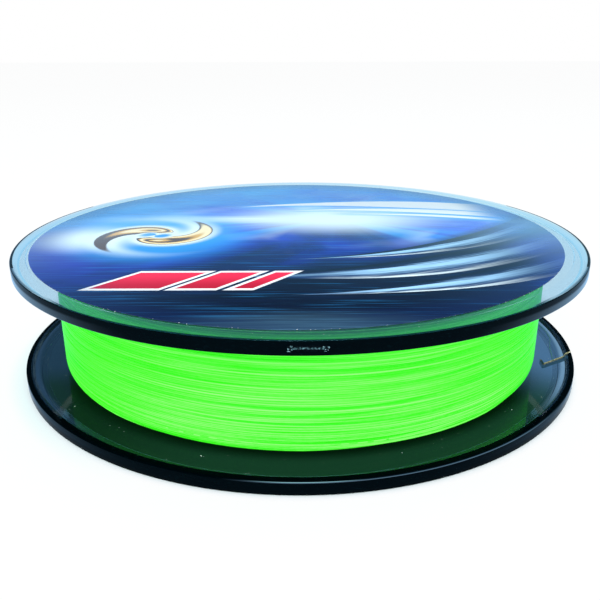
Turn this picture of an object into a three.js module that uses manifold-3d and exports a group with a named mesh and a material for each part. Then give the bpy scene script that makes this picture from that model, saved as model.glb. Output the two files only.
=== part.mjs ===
// A filler spool of braided fishing line, in millimetres, with +Z along the spool's axis.
// Two smoke-clear flanges plug into a ribbed drum, the line is wound between them, and its
// tag end is tucked into a slit in the lower flange. Z = 0 is the plane that the spool rests on.
import * as THREE from "three";
import { mergeVertices } from "three/addons/utils/BufferGeometryUtils.js";
import Module from "manifold-3d";

const wasm = await Module();
wasm.setup();

// Overall
const DRUM_RADIUS = 36.5;
const WOUND_DEPTH = 3.8; // from the drum to the outside of the full winding
const FLANGE_REACH = 6.2; // from the winding's outside to the flange's edge
const SPOOL_HEIGHT = 20.1;

// Flanges
const RIM_HEIGHT = 1.95; // each flange at its rim
const PLATE_THICKNESS = 1.55; // each flange inside its rim
const RIM_OUTER_ROUND = 0.45; // rounded edge on the outer face's side
const RIM_INNER_ROUND = 0.2; // broken edge on the line's side
const RIM_LIP_WIDTH = 0.8; // flat top of the raised lip
const RIM_LIP_SLOPE = 1.0; // from the lip's flat down to the plate
const BORE_RADIUS = 6.5; // spindle bore through flanges and drum

// Labels
const LABEL_MARGIN = 3.14; // from the flange's edge to the label's
const LABEL_THICKNESS = 0.12;
const LABEL_OFFSET = 0.5; // the upper label is stuck on off-centre, towards -X
const LABEL_CLEARANCE = 0.35; // from the label's edge to the wall of its recess
const RECESS_DEPTH = 0.15;
const HUB_FACE_RADIUS = 9.5; // bare ring round the lower flange's bore, level with its rim

// Drum
const DRUM_WALL = 1.8;
const HUB_WALL = 1.6;
const RIBS_PER_PEG = 2; // each peg's socket stands on a rib, and plain ribs lie between
const RIB_THICKNESS = 1.2;
const SPIGOT_HEIGHT = 1.5; // ring on each flange that centres it in the drum
const SPIGOT_WALL = 1.2;
const PEG_COUNT = 3;
const PEG_CIRCLE_RADIUS = 22;
const PEG_RADIUS = 1.6;
const PEG_HEIGHT = 7;
const SOCKET_WALL = 1.3;
const PLUG_CLEARANCE = 0.3; // between a plug and the socket that holds it

// Line
const LINE_DIAMETER = 0.24;
const WOUND_SHOULDER_DROP = 0.6; // the winding is this much lower where it meets a flange
const WOUND_SHOULDER_WIDTH = 1.5;
const LINE_CLEARANCE = 0.3; // soft line to drum, flange and tape
const OUTER_TURNS = 24;
const STEPS_PER_TURN = 24;
const OUTER_TURN_SIDES = 6;
const INNER_LAYER_GAP = 0.12; // from the outer turns down to the layers below them
const LAST_TURN_AZIMUTH = THREE.MathUtils.degToRad(25);
const TAIL_GAP = 0.3; // between the last turn's end and the tail that carries on from it
const TAIL_LIFT = 0.1; // daylight under the tail where it lies on the flange
const TAIL_LIP_CLEARANCE = 0.85; // from the tail's widest slack to the foot of the rim's lip
const TAIL_SIDES = 8;
const TAIL_STEP = 2.6; // in line diameters

// Tape that holds the line's first end on the drum
const TAPE_LENGTH = 14;
const TAPE_WIDTH = 9;
const TAPE_THICKNESS = 0.25;
const TAPE_AZIMUTH = THREE.MathUtils.degToRad(150);
const TAPE_STEPS = 6;

// Slit that grips the line's tag end
const SLIT_WIDTH = 0.5;
const SLIT_FROM_LINE = 1.57; // from the winding's outside to the slit's inner end
const SLIT_AZIMUTH = THREE.MathUtils.degToRad(-19.4); // of the inner end
const SLIT_SLANT = THREE.MathUtils.degToRad(52.4); // away from the radius at the inner end
const SLIT_HOOK_LENGTH = 1.6; // short nick that turns back from the inner end
const SLIT_HOOK_TURN = THREE.MathUtils.degToRad(52);

// Recess round the moulding gate, on the upper flange's rim
const GATE_WIDTH = 3.3;
const GATE_HEIGHT = 0.75;
const GATE_DEPTH = 0.25;
const GATE_X = 0.7;
const GATE_BELOW_FACE = 1.05;

const ROUND_SEGMENTS = 64;
const SMALL_SEGMENTS = 12; // pegs and their sockets
const OVERCUT = 1; // how far a cutter runs past the face it cuts

// Heights and radii that follow from the sizes above
const WOUND_RADIUS = DRUM_RADIUS + WOUND_DEPTH;
const FLANGE_RADIUS = WOUND_RADIUS + FLANGE_REACH;
const LIP_OUTER_RADIUS = FLANGE_RADIUS - RIM_INNER_ROUND;
const LIP_INNER_RADIUS = LIP_OUTER_RADIUS - RIM_LIP_WIDTH;
const LIP_FOOT_RADIUS = LIP_INNER_RADIUS - RIM_LIP_SLOPE;
const LABEL_RADIUS = FLANGE_RADIUS - LABEL_MARGIN;
const RECESS_RADIUS = LABEL_RADIUS + LABEL_OFFSET + LABEL_CLEARANCE;
const LABEL_HOLE_RADIUS = HUB_FACE_RADIUS + LABEL_CLEARANCE; // in the lower label
const DRUM_HEIGHT = SPOOL_HEIGHT - 2 * PLATE_THICKNESS;
const DRUM_TOP = PLATE_THICKNESS + DRUM_HEIGHT;
const DRUM_INNER_RADIUS = DRUM_RADIUS - DRUM_WALL;
const HUB_RADIUS = BORE_RADIUS + HUB_WALL;
const RIB_COUNT = PEG_COUNT * RIBS_PER_PEG;
const SPIGOT_RADIUS = DRUM_INNER_RADIUS - PLUG_CLEARANCE;
const RIB_BOTTOM = PLATE_THICKNESS + SPIGOT_HEIGHT + PLUG_CLEARANCE;
const RIB_HEIGHT = SPOOL_HEIGHT - 2 * RIB_BOTTOM;
const SOCKET_BORE_RADIUS = PEG_RADIUS + PLUG_CLEARANCE;
const SOCKET_RADIUS = SOCKET_BORE_RADIUS + SOCKET_WALL;
const WOUND_BOTTOM = PLATE_THICKNESS + LINE_CLEARANCE;
const WOUND_TOP = DRUM_TOP - LINE_CLEARANCE;
const LINE_RADIUS = LINE_DIAMETER / 2;
const TAPE_INNER_RADIUS = DRUM_RADIUS + LINE_CLEARANCE;
const TAPE_OUTER_RADIUS = TAPE_INNER_RADIUS + TAPE_THICKNESS;
const MIDDLE_HEIGHT = SPOOL_HEIGHT / 2;
const TAIL_SLACK = LIP_FOOT_RADIUS - TAIL_LIP_CLEARANCE - WOUND_RADIUS;
const SLIT_INNER_RADIUS = WOUND_RADIUS + SLIT_FROM_LINE;
const SLIT_DIRECTION = SLIT_AZIMUTH + SLIT_SLANT; // in plan, from the inner end outwards

function smokePlastic() {
  return new THREE.MeshStandardMaterial({ color: 0x1b2531, roughness: 0.12, metalness: 0 });
}

function wornPlastic() {
  return new THREE.MeshStandardMaterial({ color: 0x2b333d, roughness: 0.45, metalness: 0 });
}

function printedFilm(color) {
  return new THREE.MeshStandardMaterial({ color, roughness: 0.25, metalness: 0 });
}

function braidedLine() {
  return new THREE.MeshStandardMaterial({ color: 0x46f52c, roughness: 0.5, metalness: 0 });
}

// A closed geometry as a solid that can be joined and cut.
function toSolid(geometry) {
  const bare = geometry.clone();
  bare.deleteAttribute("normal");
  bare.deleteAttribute("uv");
  const merged = mergeVertices(bare);
  return new wasm.Manifold(
    new wasm.Mesh({
      numProp: 3,
      vertProperties: merged.attributes.position.array,
      triVerts: new Uint32Array(merged.index.array),
    }),
  );
}

function toGeometry(solid) {
  const mesh = solid.getMesh();
  const geometry = new THREE.BufferGeometry();
  geometry.setAttribute("position", new THREE.BufferAttribute(mesh.vertProperties, mesh.numProp));
  geometry.setIndex(new THREE.BufferAttribute(mesh.triVerts, 1));
  geometry.computeVertexNormals();
  return geometry;
}

// A ring turned about Z from its section, given as [radius, height] pairs in a clockwise loop.
function turned(section, segments = ROUND_SEGMENTS) {
  const loop = [...section, section[0]];
  const points = loop.map(([radius, height]) => new THREE.Vector2(radius, height));
  return new THREE.LatheGeometry(points, segments).rotateX(Math.PI / 2);
}

function tubeSection(innerRadius, outerRadius, bottom, top) {
  return [
    [innerRadius, bottom],
    [outerRadius, bottom],
    [outerRadius, top],
    [innerRadius, top],
  ];
}

function upright(radius, height, segments) {
  return new THREE.CylinderGeometry(radius, radius, height, segments).rotateX(Math.PI / 2);
}

function onCircle(radius, azimuth, height) {
  return new THREE.Vector3(radius * Math.cos(azimuth), radius * Math.sin(azimuth), height);
}

// The rim's section, from the outer face round to the plate on the line's side.
function rimSection() {
  const arc = [];
  const arcSteps = 2;
  for (let step = 0; step <= arcSteps; step += 1) {
    const turn = (step / arcSteps) * (Math.PI / 2);
    const radius = FLANGE_RADIUS - RIM_OUTER_ROUND * (1 - Math.sin(turn));
    arc.push([radius, RIM_OUTER_ROUND * (1 - Math.cos(turn))]);
  }
  return [
    ...arc,
    [FLANGE_RADIUS, RIM_HEIGHT - RIM_INNER_ROUND],
    [LIP_OUTER_RADIUS, RIM_HEIGHT],
    [LIP_INNER_RADIUS, RIM_HEIGHT],
    [LIP_FOOT_RADIUS, PLATE_THICKNESS],
  ];
}

// One flange with its outer face down: recessed face, rim with its lip, centring ring, pegs.
// The hub's section runs from the bore to the recess's floor.
function flangeSolid(hubSection) {
  const disc = toSolid(
    turned([
      ...hubSection,
      [RECESS_RADIUS, RECESS_DEPTH],
      [RECESS_RADIUS, 0],
      ...rimSection(),
      [SPIGOT_RADIUS, PLATE_THICKNESS],
      [SPIGOT_RADIUS, PLATE_THICKNESS + SPIGOT_HEIGHT],
      [SPIGOT_RADIUS - SPIGOT_WALL, PLATE_THICKNESS + SPIGOT_HEIGHT],
      [SPIGOT_RADIUS - SPIGOT_WALL, PLATE_THICKNESS],
      [BORE_RADIUS, PLATE_THICKNESS],
    ]),
  );
  const root = PLATE_THICKNESS / 2; // pegs grow out of the plate's middle
  const pegLength = PEG_HEIGHT + PLATE_THICKNESS - root;
  let solid = disc;
  for (let peg = 0; peg < PEG_COUNT; peg += 1) {
    const foot = onCircle(PEG_CIRCLE_RADIUS, (peg / PEG_COUNT) * 2 * Math.PI, root);
    const pin = upright(PEG_RADIUS, pegLength, SMALL_SEGMENTS);
    pin.translate(foot.x, foot.y, foot.z + pegLength / 2);
    solid = solid.add(toSolid(pin));
  }
  return solid;
}

// Length of the slit's centre line, from its inner end to where it leaves the rim.
function slitLength() {
  const along = SLIT_INNER_RADIUS * Math.cos(SLIT_SLANT);
  const across = SLIT_INNER_RADIUS * Math.sin(SLIT_SLANT);
  return Math.sqrt(FLANGE_RADIUS * FLANGE_RADIUS - across * across) - along;
}

// A point on the slit's centre line, at a share of its length from its inner end.
function alongSlit(share, height) {
  const distance = share * slitLength();
  const step = new THREE.Vector3(Math.cos(SLIT_DIRECTION), Math.sin(SLIT_DIRECTION), 0);
  return onCircle(SLIT_INNER_RADIUS, SLIT_AZIMUTH, height).addScaledVector(step, distance);
}

// A blade as wide as the slit, through the whole rim, from the slit's inner end in one direction.
function slitBlade(length, direction) {
  const blade = new THREE.BoxGeometry(length + SLIT_WIDTH / 2, SLIT_WIDTH, RIM_HEIGHT + 2 * OVERCUT);
  blade.translate(length / 2, 0, 0);
  blade.rotateZ(direction);
  const innerEnd = alongSlit(0, RIM_HEIGHT / 2);
  return toSolid(blade.translate(innerEnd.x, innerEnd.y, innerEnd.z));
}

// The cutter for the slit: out through the rim, with the nick at its inner end.
function slitCutter() {
  const main = slitBlade(slitLength() + OVERCUT, SLIT_DIRECTION);
  return main.add(slitBlade(SLIT_HOOK_LENGTH, SLIT_DIRECTION + SLIT_HOOK_TURN));
}

function lowerFlange() {
  const raisedHub = [
    [BORE_RADIUS, 0],
    [HUB_FACE_RADIUS, 0],
    [HUB_FACE_RADIUS, RECESS_DEPTH],
  ];
  const solid = flangeSolid(raisedHub).subtract(slitCutter());
  return new THREE.Mesh(toGeometry(solid), smokePlastic());
}

// The upper flange is turned over, with no raised hub under its whole label, and its gate recess
// is towards -Y.
function upperFlange() {
  const recess = new THREE.BoxGeometry(GATE_WIDTH, 2 * GATE_DEPTH, GATE_HEIGHT);
  recess.translate(GATE_X, FLANGE_RADIUS, GATE_BELOW_FACE);
  const flatHub = [[BORE_RADIUS, RECESS_DEPTH]];
  const solid = flangeSolid(flatHub).subtract(toSolid(recess));
  const mesh = new THREE.Mesh(toGeometry(solid), smokePlastic());
  mesh.rotation.x = Math.PI;
  mesh.position.z = SPOOL_HEIGHT;
  return mesh;
}

// The drum: outer wall that carries the line, hub tube, ribs, and sockets for the pegs.
function drum() {
  const wall = tubeSection(DRUM_INNER_RADIUS, DRUM_RADIUS, PLATE_THICKNESS, DRUM_TOP);
  const hub = tubeSection(BORE_RADIUS, HUB_RADIUS, PLATE_THICKNESS, DRUM_TOP);
  let solid = toSolid(turned(wall)).add(toSolid(turned(hub)));
  const ribInner = HUB_RADIUS - HUB_WALL / 2;
  const ribLength = DRUM_RADIUS - DRUM_WALL / 2 - ribInner;
  for (let rib = 0; rib < RIB_COUNT; rib += 1) {
    const web = new THREE.BoxGeometry(ribLength, RIB_THICKNESS, RIB_HEIGHT);
    web.translate(ribInner + ribLength / 2, 0, MIDDLE_HEIGHT);
    web.rotateZ((rib / RIB_COUNT) * 2 * Math.PI);
    solid = solid.add(toSolid(web));
  }
  for (let peg = 0; peg < PEG_COUNT; peg += 1) {
    const centre = onCircle(PEG_CIRCLE_RADIUS, (peg / PEG_COUNT) * 2 * Math.PI, MIDDLE_HEIGHT);
    const boss = upright(SOCKET_RADIUS, RIB_HEIGHT, SMALL_SEGMENTS);
    const bore = upright(SOCKET_BORE_RADIUS, RIB_HEIGHT + 2 * OVERCUT, SMALL_SEGMENTS);
    boss.translate(centre.x, centre.y, centre.z);
    bore.translate(centre.x, centre.y, centre.z);
    solid = solid.add(toSolid(boss)).subtract(toSolid(bore));
  }
  return new THREE.Mesh(toGeometry(solid), wornPlastic());
}

// The upper label is a whole disc, so it also covers the bore.
function upperLabel() {
  const mesh = new THREE.Mesh(upright(LABEL_RADIUS, LABEL_THICKNESS, ROUND_SEGMENTS), printedFilm(0x2c4fc4));
  mesh.position.set(-LABEL_OFFSET, 0, SPOOL_HEIGHT - RECESS_DEPTH + LABEL_THICKNESS / 2);
  return mesh;
}

// The lower label is a ring round the raised hub, stuck on the floor of the lower recess.
function lowerLabel() {
  const bottom = RECESS_DEPTH - LABEL_THICKNESS;
  const section = tubeSection(LABEL_HOLE_RADIUS, LABEL_RADIUS, bottom, RECESS_DEPTH);
  return new THREE.Mesh(turned(section), printedFilm(0xdfe6f0));
}

// A curved patch about Z, centred on an azimuth.
function curvedPatch(innerRadius, outerRadius, length, width) {
  const sweep = length / innerRadius;
  const points = [];
  for (let step = 0; step <= TAPE_STEPS; step += 1) {
    const azimuth = TAPE_AZIMUTH - sweep / 2 + (step / TAPE_STEPS) * sweep;
    points.push(new THREE.Vector2(Math.cos(azimuth), Math.sin(azimuth)));
  }
  const outside = points.map((point) => point.clone().multiplyScalar(outerRadius));
  const inside = points.map((point) => point.clone().multiplyScalar(innerRadius)).reverse();
  const outline = new THREE.Shape([...outside, ...inside]);
  const patch = new THREE.ExtrudeGeometry(outline, { depth: width, bevelEnabled: false });
  return patch.translate(0, 0, MIDDLE_HEIGHT - width / 2);
}

function anchorTape() {
  const patch = curvedPatch(TAPE_INNER_RADIUS, TAPE_OUTER_RADIUS, TAPE_LENGTH, TAPE_WIDTH);
  const material = new THREE.MeshStandardMaterial({ color: 0xd9cfa8, roughness: 0.6, metalness: 0 });
  return new THREE.Mesh(patch, material);
}

// Outside radius of the winding at a height: full between the flanges, lower at its shoulders.
function woundRadius(height) {
  const fromFlange = Math.min(height - PLATE_THICKNESS, DRUM_TOP - height);
  const short = Math.max(0, 1 - fromFlange / WOUND_SHOULDER_WIDTH);
  return WOUND_RADIUS - WOUND_SHOULDER_DROP * short * short;
}

// Outside radius of the layers below the outer turns, clear of the turns' straight steps.
function innerLayerRadius(height) {
  const chordRadius = (woundRadius(height) - LINE_RADIUS) * Math.cos(Math.PI / STEPS_PER_TURN);
  return chordRadius - LINE_RADIUS - INNER_LAYER_GAP;
}

// The layers of line below the outer one, as one ring with a pocket over the tape.
function lineInnerLayers() {
  const shoulder = WOUND_SHOULDER_WIDTH - LINE_CLEARANCE;
  const heights = [WOUND_BOTTOM, WOUND_BOTTOM + shoulder / 2, WOUND_BOTTOM + shoulder];
  const mirrored = heights.map((height) => SPOOL_HEIGHT - height).reverse();
  const outside = [...heights, ...mirrored].map((height) => [innerLayerRadius(height), height]);
  const innerRadius = DRUM_RADIUS + LINE_CLEARANCE;
  const ring = turned([[innerRadius, WOUND_BOTTOM], ...outside, [innerRadius, WOUND_TOP]]);
  const pocket = curvedPatch(
    DRUM_RADIUS,
    TAPE_OUTER_RADIUS + LINE_CLEARANCE,
    TAPE_LENGTH + 2 * LINE_CLEARANCE,
    TAPE_WIDTH + 2 * LINE_CLEARANCE,
  );
  return new THREE.Mesh(toGeometry(toSolid(ring).subtract(toSolid(pocket))), braidedLine());
}

// The path of the outer turns, from the top of the winding down to its last point.
function outerTurnPath() {
  const top = WOUND_TOP - LINE_RADIUS;
  const bottom = WOUND_BOTTOM + LINE_RADIUS;
  const steps = OUTER_TURNS * STEPS_PER_TURN;
  const path = [];
  for (let step = 0; step <= steps; step += 1) {
    const height = top + (bottom - top) * (step / steps);
    const azimuth = LAST_TURN_AZIMUTH + ((steps - step) / STEPS_PER_TURN) * 2 * Math.PI;
    path.push(onCircle(woundRadius(height) - LINE_RADIUS, azimuth, height));
  }
  return path;
}

// A path with a straight run of one line diameter added at each end.
function withStraightEnds(path) {
  const beyond = (end, before) =>
    end.clone().add(end.clone().sub(before).setLength(LINE_DIAMETER));
  const last = path.length - 1;
  return [beyond(path[0], path[1]), ...path, beyond(path[last], path[last - 1])];
}

// Least distance between surfaces of turns that lie next to each other, over all their steps.
function leastGap(path, radius) {
  const segment = new THREE.Line3();
  const nearest = new THREE.Vector3();
  const skipped = STEPS_PER_TURN / 2;
  let least = Infinity;
  for (let here = 0; here < path.length; here += 1) {
    for (let there = here + skipped; there + 1 < path.length; there += 1) {
      segment.set(path[there], path[there + 1]).closestPointToPoint(path[here], true, nearest);
      least = Math.min(least, nearest.distanceTo(path[here]) - 2 * radius);
    }
  }
  return least;
}

// One unbroken tube through the points of a coil about Z, with a flat end at each side.
function coiledTube(path, radius, sides) {
  const positions = [];
  const indices = [];
  for (const centre of path) {
    const outward = new THREE.Vector3(centre.x, centre.y, 0).normalize();
    for (let side = 0; side < sides; side += 1) {
      const turn = (side / sides) * 2 * Math.PI;
      const point = centre.clone().addScaledVector(outward, radius * Math.cos(turn));
      positions.push(point.x, point.y, point.z + radius * Math.sin(turn));
    }
  }
  for (let ring = 0; ring + 1 < path.length; ring += 1) {
    for (let side = 0; side < sides; side += 1) {
      const a = ring * sides + side;
      const b = ring * sides + ((side + 1) % sides);
      indices.push(a, b, a + sides, b, b + sides, a + sides);
    }
  }
  const lastRing = (path.length - 1) * sides;
  for (let side = 1; side + 1 < sides; side += 1) {
    indices.push(0, side + 1, side);
    indices.push(lastRing, lastRing + side, lastRing + side + 1);
  }
  const geometry = new THREE.BufferGeometry();
  geometry.setAttribute("position", new THREE.Float32BufferAttribute(positions, 3));
  geometry.setIndex(indices);
  geometry.computeVertexNormals();
  return geometry;
}

function lineOuterLayer() {
  const path = withStraightEnds(outerTurnPath());
  console.log(`outer turns: least gap ${leastGap(path, LINE_RADIUS).toFixed(3)} mm`);
  return new THREE.Mesh(coiledTube(path, LINE_RADIUS, OUTER_TURN_SIDES), braidedLine());
}

// A point of the tag end's slack, at a share of its widest slack and an azimuth in degrees.
function slackPoint(share, degrees, height) {
  return onCircle(WOUND_RADIUS + share * TAIL_SLACK, THREE.MathUtils.degToRad(degrees), height);
}

// The tag end: off the last turn, slack over the lower flange, then down and out along the slit.
function lineTail() {
  const turns = withStraightEnds(outerTurnPath());
  const end = turns[turns.length - 1];
  const heading = end.clone().sub(turns[turns.length - 2]).normalize();
  const resting = PLATE_THICKNESS + LINE_RADIUS + TAIL_LIFT;
  const inSlit = PLATE_THICKNESS / 2;
  const route = new THREE.CatmullRomCurve3([
    end.clone().addScaledVector(heading, TAIL_GAP),
    end.clone().addScaledVector(heading, TAIL_GAP + 2 * LINE_DIAMETER),
    slackPoint(0.34, 17.1, (end.z + resting) / 2),
    slackPoint(0.72, 9.7, resting),
    slackPoint(0.99, 2.1, resting),
    slackPoint(0.97, -4.6, resting),
    slackPoint(0.77, -10.2, resting),
    slackPoint(0.75, -14.3, resting),
    alongSlit(0.36, resting - LINE_RADIUS),
    alongSlit(0.46, inSlit + LINE_RADIUS),
    alongSlit(0.58, inSlit),
    alongSlit(0.78, inSlit),
  ]);
  const section = new THREE.Shape().absarc(0, 0, LINE_RADIUS, 0, 2 * Math.PI);
  const steps = Math.round(route.getLength() / (TAIL_STEP * LINE_DIAMETER));
  const outline = new THREE.Shape(section.getSpacedPoints(TAIL_SIDES).slice(0, TAIL_SIDES));
  const tube = new THREE.ExtrudeGeometry(outline, {
    steps,
    extrudePath: route,
    bevelEnabled: false,
  });
  console.log(`tail: ${route.getLength().toFixed(1)} mm long, ${steps} steps`);
  return new THREE.Mesh(tube, braidedLine());
}

const pieces = {
  lower_flange: lowerFlange(),
  upper_flange: upperFlange(),
  drum: drum(),
  upper_label: upperLabel(),
  lower_label: lowerLabel(),
  anchor_tape: anchorTape(),
  line_inner_layers: lineInnerLayers(),
  line_outer_layer: lineOuterLayer(),
  line_tail: lineTail(),
};

const spool = new THREE.Group();
for (const [name, mesh] of Object.entries(pieces)) {
  mesh.name = name;
  spool.add(mesh);
}

export default spool;
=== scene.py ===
"""A filler spool of neon green braided line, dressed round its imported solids.

Two smoke-clear flanges hold a full winding of braid. A glossy printed label lies on the upper
flange, and the line's tag end is tucked into a slit in the lower one. Lengths are in metres, and
those that are easier to read in millimetres are written with MM. Patterns are in millimetres.
"""

import logging
import math
import random
from dataclasses import dataclass
from enum import Enum
from typing import Callable, Iterable, Sequence

import bmesh
import bpy
from mathutils import Matrix, Vector, noise


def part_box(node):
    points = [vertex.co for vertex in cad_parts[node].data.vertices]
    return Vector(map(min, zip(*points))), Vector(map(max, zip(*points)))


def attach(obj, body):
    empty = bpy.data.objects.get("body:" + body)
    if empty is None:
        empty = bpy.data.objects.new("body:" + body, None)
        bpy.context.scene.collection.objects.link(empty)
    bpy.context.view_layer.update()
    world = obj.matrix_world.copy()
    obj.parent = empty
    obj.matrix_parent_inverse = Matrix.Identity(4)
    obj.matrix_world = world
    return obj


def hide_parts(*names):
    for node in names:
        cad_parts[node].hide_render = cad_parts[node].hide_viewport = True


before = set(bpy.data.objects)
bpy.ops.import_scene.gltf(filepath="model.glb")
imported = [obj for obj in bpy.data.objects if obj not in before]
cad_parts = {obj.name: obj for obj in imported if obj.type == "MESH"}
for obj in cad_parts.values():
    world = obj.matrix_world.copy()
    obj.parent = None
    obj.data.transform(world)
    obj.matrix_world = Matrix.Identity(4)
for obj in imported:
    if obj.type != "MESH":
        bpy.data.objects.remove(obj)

Colour = tuple[float, float, float]
Point = tuple[float, float]
Section = list[Point]
Mesh = bmesh.types.BMesh
Piece = bpy.types.Object
Material = bpy.types.Material
Node = bpy.types.Node
Socket = bpy.types.NodeSocket

LOG = logging.getLogger("spool")
MM = 0.001
SEAM_GAP = 1e-8
CAP_GAP = 1e-7
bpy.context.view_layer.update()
BODY = "root"
BLACK: Colour = (0.0, 0.0, 0.0)
WHITE: Colour = (1.0, 1.0, 1.0)


class Turning(Enum):
    """Steps round the axis, by how closely a piece is looked at."""

    FINE = 288
    MEDIUM = 128


class Lay(Enum):
    """Which way a pass of line climbs while the spool turns."""

    RISING = 1
    FALLING = -1


class Zone(Enum):
    """The parts of a flange that look different, in the order of its material slots."""

    PLATE = 0
    WALL = 1
    LIP = 2


class Effect(Enum):
    """The node groups that several finishes place, by their names."""

    MARKS = "handling_marks"
    BRAID = "braided_strand"
    UNDER_LIGHT = "light_under_flange"


# ---- Sizes ----


@dataclass(frozen=True)
class SpoolSizes:
    """The spool's sizes, as its solids have them but for the rim's finer rounds."""

    flange_radius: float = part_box("lower_flange")[1][0]
    height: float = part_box("upper_flange")[1][2]
    rim_height: float = 1.95 * MM
    plate: float = 1.55 * MM
    edge_break: float = 0.04 * MM
    outer_round: float = 0.2 * MM
    inner_round: float = 0.2 * MM
    lip_width: float = 0.8 * MM
    lip_slope: float = 0.35 * MM
    bore: float = 6.5 * MM
    hub_face: float = 9.5 * MM
    recess_depth: float = 0.15 * MM
    label_radius: float = 43.36 * MM
    label_thickness: float = 0.12 * MM
    label_offset: float = 0.5 * MM
    label_clearance: float = 0.35 * MM
    spigot_radius: float = 34.4 * MM
    spigot_wall: float = 1.2 * MM
    spigot_height: float = 1.5 * MM
    wound_radius: float = 40.3 * MM
    shoulder_drop: float = 0.6 * MM
    shoulder_width: float = 1.5 * MM
    line: float = 0.24 * MM
    line_clearance: float = 0.3 * MM

    @property
    def recess_radius(self) -> float:
        """Radius of the shallow recess that holds a label."""
        return self.label_radius + self.label_offset + self.label_clearance

    @property
    def lip_foot(self) -> float:
        """Radius at which the raised lip meets the plate."""
        return self.flange_radius - self.inner_round - self.lip_width - self.lip_slope

    @property
    def wound_bottom(self) -> float:
        """Height of the lowest line."""
        return self.plate + self.line_clearance

    @property
    def wound_top(self) -> float:
        """Height of the highest line."""
        return self.height - self.wound_bottom

    def wound_radius_at(self, height: float) -> float:
        """Gives the winding's outside radius, which is less near each flange.

        Args:
            height: Height above the resting plane.

        Returns:
            The radius.
        """
        from_flange = min(height - self.plate, self.height - self.plate - height)
        short = max(0.0, 1.0 - from_flange / self.shoulder_width)
        return self.wound_radius - self.shoulder_drop * short * short


@dataclass(frozen=True)
class SlitSizes:
    """The slit that grips the line's tag end, closed up on the line more than its solid is."""

    width: float = 0.3 * MM
    inner_radius: float = 41.87 * MM
    azimuth: float = math.radians(-19.4)
    slant: float = math.radians(52.4)
    hook_length: float = 1.6 * MM
    hook_turn: float = math.radians(52.0)

    @property
    def direction(self) -> float:
        """Direction of the slit in plan, from its inner end outwards."""
        return self.azimuth + self.slant

    def length(self, flange_radius: float) -> float:
        """Gives the length of the slit's centre line, from its inner end to the rim's edge.

        Args:
            flange_radius: Radius of the flange that the slit runs out of.

        Returns:
            The length.
        """
        along = self.inner_radius * math.cos(self.slant)
        across = self.inner_radius * math.sin(self.slant)
        return math.sqrt(flange_radius**2 - across**2) - along

    def point(self, share: float, height: float, flange_radius: float) -> Vector:
        """Gives a point of the centre line.

        Args:
            share: Share of the slit's length from its inner end.
            height: Height of the point.
            flange_radius: Radius of the flange.

        Returns:
            The point.
        """
        start = on_circle(self.inner_radius, self.azimuth, height)
        step = Vector((math.cos(self.direction), math.sin(self.direction), 0.0))
        return start + step * (share * self.length(flange_radius))


def on_circle(radius: float, azimuth: float, height: float) -> Vector:
    """Gives the point of a circle round the axis at an azimuth from +X, in radians."""
    return Vector((radius * math.cos(azimuth), radius * math.sin(azimuth), height))


# ---- Mesh tools ----


def make_piece(name: str, bm: Mesh, materials: Sequence[Material]) -> Piece:
    """Turns a finished bmesh, which is freed, into an object at the origin.

    Args:
        name: Name of the piece.
        bm: The mesh.
        materials: Materials for the piece's slots.

    Returns:
        The new object, in the scene.
    """
    mesh = bpy.data.meshes.new(name)
    bm.to_mesh(mesh)
    bm.free()
    for material in materials:
        mesh.materials.append(material)
    piece = bpy.data.objects.new(name, mesh)
    bpy.context.scene.collection.objects.link(piece)
    return piece


def seat(piece: Piece, slot: str, *nodes: str, sharp: float = 35.0) -> None:
    """Shades a piece smooth, makes it ride on the spool in place of its solids, and reports it.

    Args:
        piece: The piece.
        slot: Not used.
        nodes: The solids that the piece stands for.
        sharp: Turn between two faces, in degrees, past which their edge stays sharp.
    """
    piece.data.polygons.foreach_set("use_smooth", [True] * len(piece.data.polygons))
    piece.data.set_sharp_from_angle(angle=math.radians(sharp))
    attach(piece, BODY)
    if nodes:
        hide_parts(*nodes)
    LOG.info("%s: %d faces", piece.name, len(piece.data.polygons))


def turn_section(section: Section, turning: Turning) -> Mesh:
    """Turns a closed section round the spool's axis.

    Args:
        section: Points of the section as (radius, height), in a loop.
        turning: Steps round the axis.

    Returns:
        A closed mesh with its faces outwards.
    """
    bm = bmesh.new()
    verts = [bm.verts.new((radius, 0.0, height)) for radius, height in section]
    edges = [bm.edges.new((a, b)) for a, b in zip(verts, verts[1:] + verts[:1])]
    bmesh.ops.spin(
        bm,
        geom=[*verts, *edges],
        cent=(0.0, 0.0, 0.0),
        axis=(0.0, 0.0, 1.0),
        dvec=(0.0, 0.0, 0.0),
        angle=math.tau,
        steps=turning.value,
        use_merge=True,
    )
    bmesh.ops.remove_doubles(bm, verts=bm.verts[:], dist=SEAM_GAP)
    bmesh.ops.recalc_face_normals(bm, faces=bm.faces[:])
    return bm


def arc(centre: Point, radius: float, start: float, end: float, steps: int) -> Section:
    """Gives the points of an arc in a section.

    Args:
        centre: Centre as (radius, height).
        radius: Radius of the arc.
        start: First angle, in degrees from outwards towards up.
        end: Last angle.
        steps: Steps along the arc.

    Returns:
        The points, both ends included.
    """
    angles = [math.radians(start + (end - start) * step / steps) for step in range(steps + 1)]
    return [(centre[0] + radius * math.cos(a), centre[1] + radius * math.sin(a)) for a in angles]


def blend_slope(start: Point, end: Point, steps: int) -> Section:
    """Gives a slope that leaves one level and reaches another with no corner.

    Args:
        start: First point as (radius, height).
        end: Last point.
        steps: Steps along it.

    Returns:
        The points, both ends included.
    """
    points = []
    for share in (step / steps for step in range(steps + 1)):
        eased = (1.0 - math.cos(math.pi * share)) / 2.0
        points.append((start[0] + (end[0] - start[0]) * share, start[1] + (end[1] - start[1]) * eased))
    return points


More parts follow.
